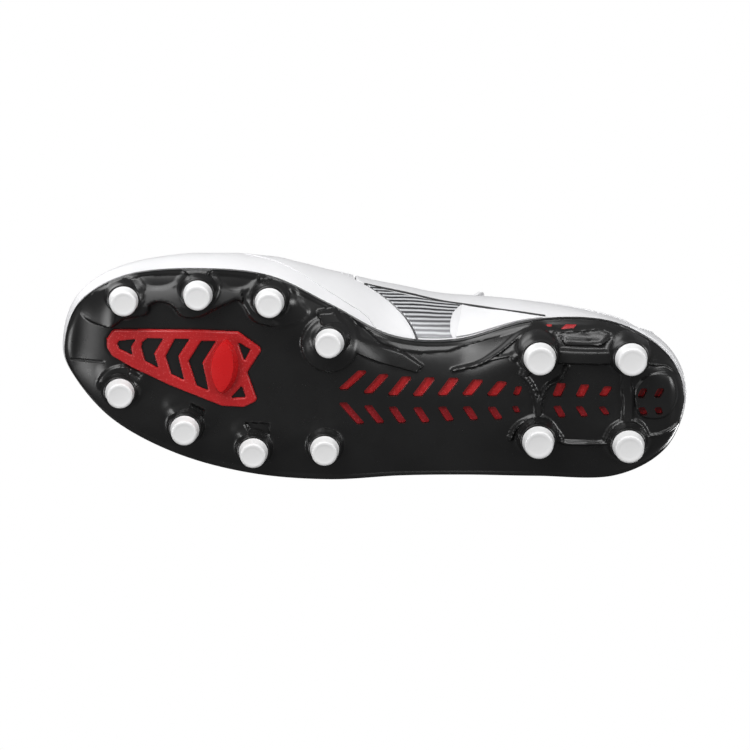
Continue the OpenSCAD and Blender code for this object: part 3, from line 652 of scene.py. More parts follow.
def plate_blank(step=5):
    """The plate as one closed solid: a fine lower face and a coarser upper face."""
    s, u = plate_grid(step)
    rows, cols = s.shape
    low = sole_surface(s, u)
    high = inner_sole_surface(s[::step, ::step], u[::step, ::step])
    # The heel's end is filled up to the rim, so that no gap is left under the leather.
    edge = np.maximum(high[:, :1, 2], high[:, -1:, 2])
    high[..., 2] += smooth(10.55, 10.85, s[::step, ::step]) * np.clip(edge - high[..., 2], 0, None)
    r2, c2 = high.shape[:2]
    n = rows * cols
    faces = grid_faces(rows, cols) + grid_faces(r2, c2, n, flip=True)
    fine, coarse = border(rows, cols), border(r2, c2, n)
    for k in range(len(coarse)):
        first = [fine[(k * step + q) % len(fine)] for q in range(step + 1)]
        faces.append(first + [coarse[(k + 1) % len(coarse)], coarse[k]])
    return new_object("outsole", np.concatenate([low.reshape(-1, 3), high.reshape(-1, 3)]), faces,
                      SOLE_BLACK, None, None, 1e-8)


def joined(objects):
    """Joins closed cutters that don't touch each other into one object."""
    base = objects[0]
    bm = bmesh.new()
    for o in objects:
        bm.from_mesh(o.data)
    bmesh.ops.recalc_face_normals(bm, faces=bm.faces)
    bm.to_mesh(base.data)
    bm.free()
    for o in objects[1:]:
        remove(o)
    return base


def pedestal_profile(d):
    """Radius and height down the side of the foot that a tip of diameter d stands on."""
    r = d / 2 + DRAFT
    return [(0.6, TIP_H), (r + 0.35, TIP_H), (r + 0.75, TIP_H + 0.25), (r + 0.85, TIP_H + 0.7),
            (r + 0.8, TIP_H + 1.3), (r + 1.1, TIP_H + 2.6), (r + 1.7, TIP_H + 4.0), (r + 2.2, TIP_H + 5.2),
            (r + 2.3, TIP_H + 14), (0.6, TIP_H + 14)]


def slot_rows():
    """Chevron slots as (inner end, outer end, width), one row on each side of a slanting axis."""
    rows = []
    for k in range(7):
        bend = max(0, 3 - k) ** 2
        x = 15.2 - 11.4 * k
        medial_end = (x - 8 + 0.38 * k - 0.23 * bend, 10.8 - 0.42 * k + 0.36 * bend)
        lateral_end = (x - 5.4 + 0.2 * k - 0.4 * bend, 0.5 * max(0, k - 3) - 12)
        rows += [((x, 0.8 + 0.45 * bend), medial_end, 5.4), ((x, 0.35 * bend - 4), lateral_end, 4.2)]
    return rows


SLOTS = slot_rows() + [
    ((-64.6, 1.4), (-66.4, 6.2), 3.2), ((-64.1, -3.4), (-65.8, -7), 3), ((-83.3, 1), (-85.8, 7.8), 4.4),
    ((-93.8, 1), (-96.6, 7.4), 4.4), ((-104.3, 1.5), (-107.2, 6.6), 4.2),
    ((-83.3, -3.1), (-86.5, -9.1), 3.7), ((-93.4, -3.1), (-96.7, -8.6), 3.6),
    ((-103.8, -3.1), (-106.8, -7.5), 3.2),
    ((-121.6, 1.1), (-123.5, 5.9), 3.4), ((-129.1, 1.1), (-131.3, 5.9), 3.4),
    ((-122, -3.2), (-124, -7.4), 3.4), ((-129.6, -3.2), (-131, -7), 3.3)]
RIM_WINDOWS = [[(-72.8, 31.9), (-81.5, 32.8), (-79.5, 30.4), (-73.6, 30.2)],
               [(-85.3, 31.4), (-87.6, 32.8), (-92.4, 32.8), (-90.0, 31.0)]]


FLOOR_SPAN = (1.5, 3.3)  # Heights of the lozenges' faces over the plate's plain lower face.


def slot_outline(slot, shrink=0.0):
    (x0, y0), (x1, y1), width = slot
    w = width / 2 - shrink
    lean = math.copysign(shrink, y1 - y0)
    pts = [(x0 - w, y0 + lean), (x0 + w, y0 + lean), (x1 + w, y1 - lean), (x1 - w, y1 - lean)]
    return rounded(pts, 1.0, 4)


def make_slot_floors():
    """Red lozenges of the shank that stand up into the slots, the medial row painted brighter as a lit side,
    and the red panes in the rim.
    """
    floors = {True: [], False: []}
    for slot in SLOTS:
        outline = slot_outline(slot, 0.12)
        under = sole_height(outline[:, 0], outline[:, 1])
        n = len(outline)
        verts = [[x, y, z + over] for over in FLOOR_SPAN for (x, y), z in zip(outline, under)]
        faces = [list(range(n)), list(range(n, 2 * n))[::-1]]
        faces += [[a, n + a, n + (a + 1) % n, (a + 1) % n] for a in range(n)]
        # Painted light: the medial row takes the frame's brighter red as a lit copy of the shank's red; the
        # lateral row keeps the shank's own red.
        medial = slot[1][1] > slot[0][1]
        name, material = (("slot_floors_medial_painted_lit", SOLE_RED) if medial
                          else ("slot_floors_lateral", SHANK_RED))
        floors[medial].append(new_object(name, verts, faces, material, None, None))
    for row in floors.values():
        joined(row)
        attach(row[0], SHOE)
        shade(row[0], False)
    for window, name in zip(RIM_WINDOWS, ("front", "rear")):
        pts = np.array(window)
        low, high = pts.min(0) - 0.6, pts.max(0) + 0.6
        xs, ys = (np.arange(low[k], high[k], 0.3) for k in (0, 1))
        pane = field_solid(f"rim_pane_{name}", xs, ys, lambda x, y: depth_in(x, y, window),
                           lambda x, y: np.where(depth_in(x, y, window) > -0.1, 0.3, -0.8), 1.4, SHANK_RED)
        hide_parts(f"rim_inlay_{name}")


def make_outsole():
    plate = plate_blank()
    feet = [lathe(pedestal_profile(d), (x, y, z), tilt, "foot")
            for studs, d in ((MEDIAL_STUDS + LATERAL_STUDS, FOREFOOT_D), (HEEL_STUDS, HEEL_D))
            for x, y, z, tilt in studs]
    # The feet end at the plate's upper face: only what lies in the column below it is kept.
    top = inner_sole_surface(*plate_grid(1))
    column = new_object("column", *closed_grid(top - [0, 0, 30], top), None, body=None, merge=1e-8)
    feet = joined(feet)
    boolean(feet, [column], "INTERSECT")
    boolean(plate, [feet], "UNION")
    boolean(plate, [joined([prism("slot", slot_outline(slot), 0, 40) for slot in SLOTS])])
    sharpen(plate, 38)
    shade(plate)
    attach(plate, SHOE)
    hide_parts("outsole_plate")


def make_studs():
    for group, studs, d in (("medial", MEDIAL_STUDS, FOREFOOT_D), ("lateral", LATERAL_STUDS, FOREFOOT_D),
                            ("heel", HEEL_STUDS, HEEL_D)):
        r = d / 2
        profile = [(0.4, 0.14), (0.66 * r, 0.13), (0.74 * r, 0.08), (0.8 * r, 0.0), (r - 0.55, 0.0),
                   (r - 0.25, 0.04), (r + 0.05, 0.16), (r + 0.28, 0.4), (r + 0.4, 0.75), (r + 0.48, 1.3),
                   (r + 0.75, 3.4), (r + DRAFT - 0.12, TIP_H - 0.5), (r + DRAFT, TIP_H - 0.2),
                   (r + DRAFT - 0.1, TIP_H - 0.02), (0.4, TIP_H - 0.02)]
        for k, (x, y, z, tilt) in enumerate(studs, 1):
            stud = lathe(profile, (x, y, z), tilt, f"stud_{group}_{k}", STUD_WHITE, SHOE, "stud_white")
            sharpen(stud, 50)
            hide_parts(f"stud_tip_{group}_{k}")


def field_solid(name, xs, ys, level, height, base, material):
    """A closed solid over the cells where level is positive: its lower face hangs height below the sole."""
    x, y = np.meshgrid(xs, ys, indexing="ij")
    keep = level(x, y) > -0.55
    cells = keep[:-1, :-1] | keep[1:, :-1] | keep[:-1, 1:] | keep[1:, 1:]
    under = sole_height(x, y)
    low = np.stack([x, y, under - height(x, y)], -1).reshape(-1, 3)
    high = np.stack([x, y, under + base], -1).reshape(-1, 3)
    cols, n = len(ys), low.shape[0]
    faces = []
    for i, j in np.argwhere(cells):
        a, b, c, d = i * cols + j, (i + 1) * cols + j, (i + 1) * cols + j + 1, i * cols + j + 1
        faces += [[a, d, c, b], [n + a, n + b, n + c, n + d]]
        for p, q, ni, nj in ((a, b, i, j - 1), (b, c, i + 1, j), (c, d, i, j + 1), (d, a, i - 1, j)):
            inside = 0 <= ni < cells.shape[0] and 0 <= nj < cells.shape[1]
            if not (inside and cells[ni, nj]):
                faces.append([p, q, n + q, n + p])
    used = np.unique(np.concatenate([np.array(f) for f in faces]))
    order = np.full(2 * n, -1)
    order[used] = np.arange(len(used))
    verts = np.concatenate([low, high])[used]
    return new_object(name, verts, [[int(order[v]) for v in f] for f in faces], material, "sole_red")


def sole_height(x, y):
    """Height of the plate's plain lower face at a place in plan, found in a few steps."""
    grid_s = np.linspace(0.3, 10.7, 700)
    middle = (rail(FEATHER, grid_s) + rail(FEATHER, -grid_s)) / 2
    half = (rail(FEATHER, grid_s) - rail(FEATHER, -grid_s)) / 2
    s = np.interp(-x, -middle[:, 0], grid_s)
    for _ in range(12):
        u = (y - np.interp(s, grid_s, middle[:, 1])) / np.interp(s, grid_s, half[:, 1])
        s = np.interp(-(x - np.interp(s, grid_s, half[:, 0]) * u), -middle[:, 0], grid_s)
    return sole_plan(s, u)[2]


def frame_level(x, y):
    """Distance to the edge of the forefoot frame, positive on its bars."""
    level = depth_in(x, y, INSERT_EDGE)
    for window in INSERT_WINDOWS:
        level = np.minimum(level, -depth_in(x, y, rounded(window, 0.5)))
    return level


def frame_rise(x, y):
    """The frame's face: flat with rounded edges, sunk out of sight outside its outline."""
    level = frame_level(x, y)
    f = np.clip((level + 0.15) / 0.55, 0, 1)
    return np.where(level < -0.15, -0.7, -0.3 + 1.5 * np.sqrt(1 - (1 - f) ** 2))


def make_insert():
    frame_obj = field_solid("forefoot_fin_frame", np.arange(50, 123.6, 0.36), np.arange(-4, 35.6, 0.36),
                            frame_level, frame_rise, 1.6, SOLE_RED)
    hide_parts("forefoot_insert")
    sharpen(frame_obj, 60)
    half = [(q, max(0.0, 1 - abs(q) ** 2.1) ** 0.72) for q in np.sin(np.linspace(-0.5, 0.5, 41) * math.pi)]
    ring = np.array([(0.5 * w, q) for q, w in half] + [(-0.5 * w, q) for q, w in half[-2:0:-1]])
    # Width, length and height of the blade's rings, and how far each has moved from foot to face.
    levels = [(15.0, 27.5, 13.6, 0.0), (14.0, 27.2, 12.4, 0.0), (12.8, 26.2, 10.4, 0.25),
              (11.8, 25.4, 8.4, 0.5), (10.9, 24.7, 6.6, 0.8), (10.4, 24.2, 5.6, 0.95),
              (9.7, 23.5, 5.12, 1.0), (7.6, 21, 4.95, 1.0), (4.4, 15, 4.8, 1.0), (1.2, 6, 4.7, 1.0)]
    lean = math.radians(5)
    turn = np.array([[math.cos(lean), -math.sin(lean)], [math.sin(lean), math.cos(lean)]])
    foot, face = np.array([68.3, 16.5]), np.array([69.2, 18.0])
    verts = []
    for width, length, z, share in levels:
        plan = ring * [width, length / 2] @ turn.T + foot + (face - foot) * share
        verts += [[x, y, z] for x, y in plan]
    n = len(ring)
    faces = [[k * n + a, k * n + (a + 1) % n, (k + 1) * n + (a + 1) % n, (k + 1) * n + a]
             for k in range(len(levels) - 1) for a in range(n)]
    faces += [list(range(n)), list(range((len(levels) - 1) * n, len(levels) * n))]
    blade = new_object("forefoot_blade", verts, faces, BLADE_RED, "sole_red", merge=1e-8)
    sharpen(blade, 40)


# ---------------------------------------------------------------- the upper
LEATHER_T, LINING_0, LINING_T = 1.3, 2.65, 0.8
FILM_T, TRIM_T, TRIM_OUT = 0.4, 0.95, 0.85  # TRIM_OUT is how far the trim's face stands off the leather.
THROAT = 3.0
LACE_HOLES = [3.75, 4.45, 5.15, 5.85, 6.55]
HOLE_LEVEL, HOLE_R, RIM_R = 0.91, 2.7, 2.95


def wrinkle(s, t):
    """Small folds of the leather over the toe joint and slack between the seams, in mm."""
    side = np.minimum(np.mod(s, RING), RING - np.mod(s, RING))
    flex = np.exp(-((side - 3.3) / 1.1) ** 2)
    folds = np.sin(9.5 * side + 3.2 * t + 1.4 * np.sin(5 * t + side)) * smooth(0.12, 0.5, t)
    slack = np.sin(3.1 * side + 6.4 * t) * np.sin(2.2 * side - 5.1 * t + 1.0)
    return 0.22 * flex * folds + 0.16 * slack * smooth(0.05, 0.25, t) * (1 - smooth(0.85, 1.0, t))


def seam(t):
    """Station of the seam between the vamp and the quarter at a height on the side."""
    t = np.asarray(t, float)
    low = 6.38 - 1.1 * t - 6.2 * t * t
    bend = np.minimum(t, 0.34)
    return np.where(t < 0.34, low, 6.38 - 1.1 * bend - 6.2 * bend * bend - 0.05 * (t - 0.34))


def upper_at(s, t, depth=0.0):
    """Points of the wrinkled leather's face, or depth mm under it."""
    s, t = np.broadcast_arrays(np.asarray(s, float), np.asarray(t, float))
    return outer_face(s, t) + (wrinkle(s, t) - depth)[..., None] * outward(s, t)


def arc_uv(grid):
    """Millimetres along the rows and columns of a grid of points."""
    return np.stack([travelled(grid, 0), travelled(grid, 1)], -1)


def sheet_solid(name, grids, thickness, material, bevel=0.35):
    """Joins open grids of points into one sheet and gives it a thickness inward and eased edges."""
    faces = []
    base = 0
    for g in grids:
        faces += grid_faces(g.shape[0], g.shape[1], base)
        base += g.shape[0] * g.shape[1]
    obj = new_object(name, np.concatenate([g.reshape(-1, 3) for g in grids]), faces, material, None, None)
    set_uv(obj, np.concatenate([arc_uv(g).reshape(-1, 2) for g in grids]))
    clean(obj.data, 1e-6, turn=False)
    solid = obj.modifiers.new("thick", "SOLIDIFY")
    solid.thickness = thickness * MM
    solid.offset = -1
    solid.use_even_offset = False
    edge = obj.modifiers.new("edge", "BEVEL")
    edge.width = bevel * MM
    edge.segments = 2
    edge.limit_method = "ANGLE"
    edge.angle_limit = math.radians(60)
    edge.use_clamp_overlap = False
    boolean(obj, [])
    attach(obj, SHOE)
    shade(obj)
    return obj


def panel_grid(corners, rows, cols, depth):
    """Points of a four-cornered panel on the leather, its corners given as stations and heights."""
    c = np.array(corners, float)
    i, j = np.meshgrid(np.linspace(0, 1, rows), np.linspace(0, 1, cols), indexing="ij")
    i, j = i[..., None], j[..., None]
    p = (c[0] * (1 - i) + c[1] * i) * (1 - j) + (c[3] * (1 - i) + c[2] * i) * j
    return upper_at(p[..., 0], p[..., 1], depth)


def lateral(corners):
    """The mirrored panel, its corners in the order that keeps its face outward."""
    return [(RING - corners[k][0], corners[k][1]) for k in (1, 0, 3, 2)]


def hole_ring(h, sides):
    """A lace hole's middle and axis, and unit directions round it. h is negative on the lateral side."""
    middle, axis = upper_at(h, HOLE_LEVEL), outward(h, HOLE_LEVEL)
    across = unit(np.cross(axis, [1, 0, 0]))
    ang = np.linspace(0, 2 * np.pi, sides, endpoint=False)[:, None]
    return middle, axis, np.cos(ang) * across + np.sin(ang) * np.cross(axis, across)


def hole_cutters(sides=32, reach=5):
    cuts = []
    for h in LACE_HOLES:
        for side in (1, -1):
            p, n, around = hole_ring(side * h, sides)
            verts = np.concatenate([p + HOLE_R * around - reach * n, p + HOLE_R * around + reach * n])
            faces = [[a, (a + 1) % sides, sides + (a + 1) % sides, sides + a] for a in range(sides)]
            faces += [list(range(sides))[::-1], list(range(sides, 2 * sides))]
            cuts.append(new_object("hole", verts, faces, None, body=None))
    return joined(cuts)


def laced(obj):
    """Punches the lace holes through a piece."""
    boolean(obj, [hole_cutters()])
    shade(obj)
    sharpen(obj, 42)
    return obj


def sweep(name, path, across, half_width, half_thick, material, slot=None, body=SHOE, sides=16,
          closed=False, power=1.0):
    """A band swept along a path. across gives the direction of its width at each point."""
    n = len(path)
    tangent = unit(np.gradient(path, axis=0) if not closed else np.roll(path, -1, 0) - np.roll(path, 1, 0))
    wide = unit(across - np.sum(across * tangent, -1, keepdims=True) * tangent)
    high = np.cross(tangent, wide)
    ang = np.linspace(0, 2 * np.pi, sides, endpoint=False)
    ca = np.sign(np.cos(ang)) * np.abs(np.cos(ang)) ** power
    sa = np.sign(np.sin(ang)) * np.abs(np.sin(ang)) ** power
    hw = np.broadcast_to(np.asarray(half_width, float), (n,))[:, None, None]
    ht = np.broadcast_to(np.asarray(half_thick, float), (n,))[:, None, None]
    rings = path[:, None] + hw * ca[None, :, None] * wide[:, None] + ht * sa[None, :, None] * high[:, None]
    faces = grid_faces(n, sides, wrap=True, flip=True)
    if closed:
        last = (n - 1) * sides
        faces += [[last + k, last + (k + 1) % sides, (k + 1) % sides, k][::-1] for k in range(sides)]
    else:
        faces += [list(range(sides)), list(range((n - 1) * sides, n * sides))[::-1]]
    obj = new_object(name, rings.reshape(-1, 3), faces, material, slot, body)
    over = 2 * np.abs(np.arange(sides) - sides / 2) / sides * 2 * float(np.mean(hw))
    uv = np.stack(np.broadcast_arrays(travelled(path)[:, None], over[None]), -1)
    set_uv(obj, uv.reshape(-1, 2))
    return obj


def stitch_rows(name, rows, pitch=3.0, length=2.1, radius=0.26):
    """Rows of sewn thread: short rounded stitches lying along lines on the leather."""
    verts, faces = [], []
    for pts, normals in rows:
        reach = travelled(pts)
        for m in np.arange(pitch / 2, reach[-1] - pitch / 2, pitch):
            a, b = (np.array([np.interp(m + k * length / 2, reach, pts[:, q]) for q in range(3)])
                    for k in (-1, 1))
            nrm = unit(np.array([np.interp(m, reach, normals[:, q]) for q in range(3)]))
            d = unit(b - a)
            side = np.cross(nrm, d)
            base = len(verts)
            for f, r in ((0, 0.25), (0.12, 0.85), (0.5, 1.0), (0.88, 0.85), (1, 0.25)):
                lift = radius * (0.15 + 1.2 * math.sin(math.pi * f))
                mid = a + (b - a) * f + nrm * lift * 0.6
                for q in range(6):
                    w = 2 * math.pi * q / 6
                    verts.append(mid + radius * r * (math.cos(w) * side + math.sin(w) * nrm))
            faces += [[base + k * 6 + q, base + k * 6 + (q + 1) % 6, base + (k + 1) * 6 + (q + 1) % 6,
                       base + (k + 1) * 6 + q] for k in range(4) for q in range(6)]
            faces += [[base + q for q in range(5, -1, -1)], [base + 24 + q for q in range(6)]]
    obj = new_object(name, verts, faces, THREAD, "leather")
    set_uv(obj, np.asarray(verts)[:, [0, 2]])
    return obj


def on_upper(line, depth, side=1):
    """Points and normals of the leather along a line of stations and heights."""
    s, t = side * line[:, 0], line[:, 1]
    return upper_at(s, t, depth), outward(s, t)


def surface_line(st, depth, count=60):
    """The same for a few corners, with count points spread between them."""
    q = np.linspace(0, len(st) - 1, count)
    line = [np.interp(q, np.arange(len(st)), column) for column in zip(*st)]
    return on_upper(np.stack(line, -1), depth)


def both_sides(line):
    return [line, [(RING - s, t) for s, t in line]]


ARCH = [(6.98, 0.015), (8.15, 0.015), (7.62, 0.17), (7.1, 0.285)]
EYESTAY = [(3.35, 0.82), (7, 0.82), (6.95, 0.98), (3.35, 0.98)]
HEEL_BAND = [(9.3, 0.03), (12.7, 0.03), (11.6, 0.9), (10.4, 0.9)]


SIDE_SEAM = [(5.46, 0.30), (5.83, 0.325), (6.3, 0.333), (6.62, 0.325), (6.9, 0.312), (7.11, 0.298),
             (7.37, 0.25), (7.63, 0.18), (7.89, 0.11), (8.18, 0.04)]
VAMP_CORD = [(3.6, 0.26), (4.1, 0.19), (4.67, 0.12), (5.14, 0.075), (5.5, 0.055), (5.72, 0.01)]
SIDES = ((1, "medial"), (-1, "lateral"))


def make_vamp(t):
    """Toe and both wings as one piece of leather, with its grids mirrored on the lateral side."""
    last = len(t) - 1
    s_toe = np.linspace(0, THROAT, 64)[:, None]
    toe = np.concatenate([upper_at(s_toe, t[None]), upper_at(-s_toe, t[None])[:, ::-1][:, 1:]], axis=1)
    middle = (upper_at(s_toe, 1.0) + upper_at(-s_toe, 1.0)) / 2
    toe[:, last] = middle[:, 0]
    s_wing = THROAT + (seam(t)[None] - THROAT) * np.linspace(0, 1, 56)[:, None]
    wing_m, wing_l = upper_at(s_wing, t[None]), upper_at(-s_wing, t[None])[:, ::-1]
    wing_m[0], wing_l[0] = toe[-1, :last + 1], toe[-1, last:]
    vamp = laced(sheet_solid("vamp_leather", [toe, wing_m, wing_l], LEATHER_T, LEATHER))
    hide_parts("vamp", "vamp_wing_medial", "vamp_wing_lateral")


def make_side(t, side, name):
    """Quarter, midfoot film, trims and raised seams of one side."""
    def facing(grid):
        return [grid if side > 0 else grid[::-1]]

    rear = seam(t)[None]
    s = rear + 0.04 + (HEEL - 0.02 - rear - 0.04) * np.linspace(0, 1, 90)[:, None]
    quarter = laced(sheet_solid(f"quarter_leather_{name}", facing(upper_at(side * s, t[None])), LEATHER_T,
                                LEATHER))
    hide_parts(f"quarter_{name}")
    tt = np.linspace(0.015, 0.312, 30)[None]
    right = np.interp(tt, [0.0, 0.05, 0.12, 0.2, 0.32], [6.95, 6.89, 6.89, 6.94, 7.12])
    s = seam(tt) + 0.03 + (right - seam(tt) - 0.03) * np.linspace(0, 1, 50)[:, None]
    film = sheet_solid(f"midfoot_film_{name}", facing(upper_at(side * s, tt, -0.3)), FILM_T, FILM,
                       0.12)
    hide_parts(f"midfoot_panel_{name}")
    for kind, corners, node in (("arch_leaf", ARCH, "arch_panel"), ("eyestay_trim", EYESTAY, "eyestay")):
        grid = panel_grid(corners if side > 0 else lateral(corners), 48, 36, -TRIM_OUT)
        obj = sheet_solid(f"{kind}_{name}", [grid], TRIM_T, LEATHER_TRIM, 0.25)
        if kind == "eyestay_trim":
            laced(obj)
        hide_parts(f"{node}_{name}")
    pts, nrm = on_upper(curve(SIDE_SEAM, 8, False), -0.45, side)
    taper = np.clip(np.linspace(0, 8, len(pts)), 0.3, 1) * np.clip(np.linspace(8, 0, len(pts)), 0.3, 1)
    sweep(f"side_seam_{name}", pts, nrm, 0.5, 0.42 * taper, SEAM_DARK, "striped_film", sides=10)
    pts, nrm = on_upper(curve(VAMP_CORD, 8, False), -0.05, side)
    sweep(f"vamp_cord_{name}", pts, nrm, 0.32, 0.34, LEATHER_TRIM, "leather", sides=8)


def make_stitching():
    """Double rows in front of the quarters' seam, rows along the trims and one under the collar."""
    flush, on_trim = -0.05, -0.9
    rows = []
    for line, depth, count in (
            ([(float(seam(h)) - 0.09, h) for h in np.linspace(0.36, 0.8, 12)], flush, 60),
            ([(float(seam(h)) - 0.2, h) for h in np.linspace(0.36, 0.8, 12)], flush, 60),
            ([(3.42, 0.845), (6.9, 0.845)], on_trim, 160), ([(3.42, 0.972), (6.9, 0.972)], on_trim, 160),
            ([(9.42, 0.06), (10.46, 0.87)], on_trim, 90),
            ([(7.4, 0.93), (9.2, 0.93), (10.35, 0.93)], flush, 140)):
        rows += [surface_line(one, depth, count) for one in both_sides(line)]
    rows.append(surface_line([(10.46, 0.87), (11.54, 0.87)], on_trim))
    stitch_rows("upper_stitching", rows)


def make_upper():
    t = np.linspace(0, 1, 45)
    make_vamp(t)
    for side, name in SIDES:
        make_side(t, side, name)
    grid = panel_grid(HEEL_BAND, 90, 60, -TRIM_OUT)
    heel = sheet_solid("heel_trim", [grid], TRIM_T, LEATHER_TRIM, 0.25)
    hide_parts("heel_panel")
    make_stitching()
    for index, h in enumerate(LACE_HOLES, 1):
        for side, name in SIDES:
            p, axis, around = hole_ring(side * h, 40)
            sweep(f"eyelet_rim_{name}_{index}", p + axis * TRIM_OUT + RIM_R * around, around, 0.42, 0.36,
                  LEATHER_TRIM, "leather", sides=10, closed=True)


# Heights over the plate's upper face.
SHANK_LOW, SHANK_HIGH = 0.25, 1.35
LINER_LOW, LINER_HIGH = 3.4, 6.8


def make_shank():
    """Red shank laid on the plate's upper face, a little inside the plate's edge."""
    s, u = station_grid(4.92, 10.38, 130, -0.62, 0.84, 40)
    high, low = inner_sole_surface(s, u, SHANK_HIGH), inner_sole_surface(s, u, SHANK_LOW)
    shank = new_object("shank", *closed_grid(high, low), SHANK_RED, "sole_red")
    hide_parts("shank_plate")
    sharpen(shank, 60)


def make_lining():
    """The lining behind the leather, and the sock liner with cross grooves at the heel."""
    s = np.linspace(THROAT + 0.04, RING - THROAT - 0.04, 230)[:, None]
    t = np.linspace(0, 0.975, 44)[None]
    lining = laced(sheet_solid("foot_lining", [outer_face(s, t) - LINING_0 * outward(s, t)], LINING_T,
                               LINING, 0.2))
    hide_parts("heel_lining")
    half = 0.78
    s, u = station_grid(1.3, 9.94, 170, -half, half, 60)
    edge = np.clip(1 - np.abs(u) / half, 0, 1)
    rise = 0.5 * (1 - smooth(0.0, 0.06, edge)) - 0.35 * (1 - smooth(0.02, 0.05, np.abs(edge - 0.16)))
    groove = 0.3 * np.exp(-((np.mod(s * 8, 1) - 0.5) / 0.16) ** 2) * (np.abs(u) < 0.5) * (s > 8)
    top = inner_sole_surface(s, u, LINER_HIGH)
    top[..., 2] -= rise + groove
    liner = new_object("sock_liner", *closed_grid(top, inner_sole_surface(s, u, LINER_LOW)), SOCKLINER,
                       "sockliner")
    set_uv(liner, np.concatenate([arc_uv(top).reshape(-1, 2)] * 2))
    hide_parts("sockliner")
    sharpen(liner, 60)


# Height over the leather's edge and depth behind its face, round the padding.
COLLAR_SECTION = [(-20, 1.8), (-14, 1.5), (-8, 1.45), (-3, 1.4), (0.3, 1.25), (1.6, 1.7), (2.5, 3.2),
                  (2.2, 5.0), (0.2, 6.4), (-4, 6.9), (-9, 6.5), (-14, 5.3), (-19, 3.6), (-21.5, 2.5)]


def make_collar():
    start, end = 7.0, RING - 7.0
    s = np.linspace(start, end, 200)
    full = smooth(0.0, 0.5, s - start) * smooth(0.0, 0.5, end - s)
    section = curve(COLLAR_SECTION, 5)
    m = len(section)
    edge = outer_face(s, 1.0)
    up = unit(edge - outer_face(s, 0.9))
    inward = -outward(s, 0.94)
    up = unit(up - np.sum(up * inward, -1, keepdims=True) * inward)
    puff = 1 + 0.05 * np.sin(s * 7.0) + 0.03 * np.sin(s * 17.0 + 1)
    h = section[None, :, 0] * (0.35 + 0.65 * full[:, None])
    d = 1.6 + (section[None, :, 1] - 1.4) * (0.3 + 0.7 * full[:, None]) * puff[:, None]
    # Below the edge the padding follows the leather's own curve, above it stands straight up.
    rise = np.linalg.norm(edge - outer_face(s, 0.8), axis=-1) / 0.2
    height = 1 + np.minimum(h, 0) / rise[:, None]
    depth_way = -outward(s[:, None], np.minimum(height, 0.94))
    straight = np.maximum(h, 0)[..., None] * up[:, None]
    rings = outer_face(s[:, None], height) + straight + d[..., None] * depth_way
    faces = grid_faces(len(s), m, wrap=True)
    faces += [list(range(m))[::-1], list(range((len(s) - 1) * m, len(s) * m))]
    collar = new_object("collar_pad", rings.reshape(-1, 3), faces, COLLAR, "lining")
    uv = np.stack(np.meshgrid(travelled(edge), travelled(section), indexing="ij"), -1)
    set_uv(collar, uv.reshape(-1, 2))
    clean(collar.data)
    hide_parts("collar_padding")
    q = np.linspace(start + 0.05, end - 0.05, 260)
    top = outer_face(q, 1.0)
    line = top + 0.35 * unit(top - outer_face(q, 0.9)) - 0.75 * outward(q, 0.94)
    sweep("collar_binding", line, outward(q, 0.94), 1.05, 0.75, LEATHER_TRIM, "leather", sides=14)


# Middle of the tongue's face, then its half width and how far its sides droop.
TONGUE_LINE = [(76, 21, 52, 14, 1.5), (62, 19.5, 55.5, 18, 3), (44, 16.5, 60, 20, 4), (20, 13, 68, 21, 5),
               (-4, 10, 76.5, 20, 5), (-20, 8.5, 82.5, 16, 3.5), (-31.5, 8, 87.5, 12.5, 2.2),
               (-38, 8, 95, 14, 2.5), (-44, 8, 103, 17, 3), (-48, 8, 110, 17, 3), (-50, 8, 114, 12.5, 2)]


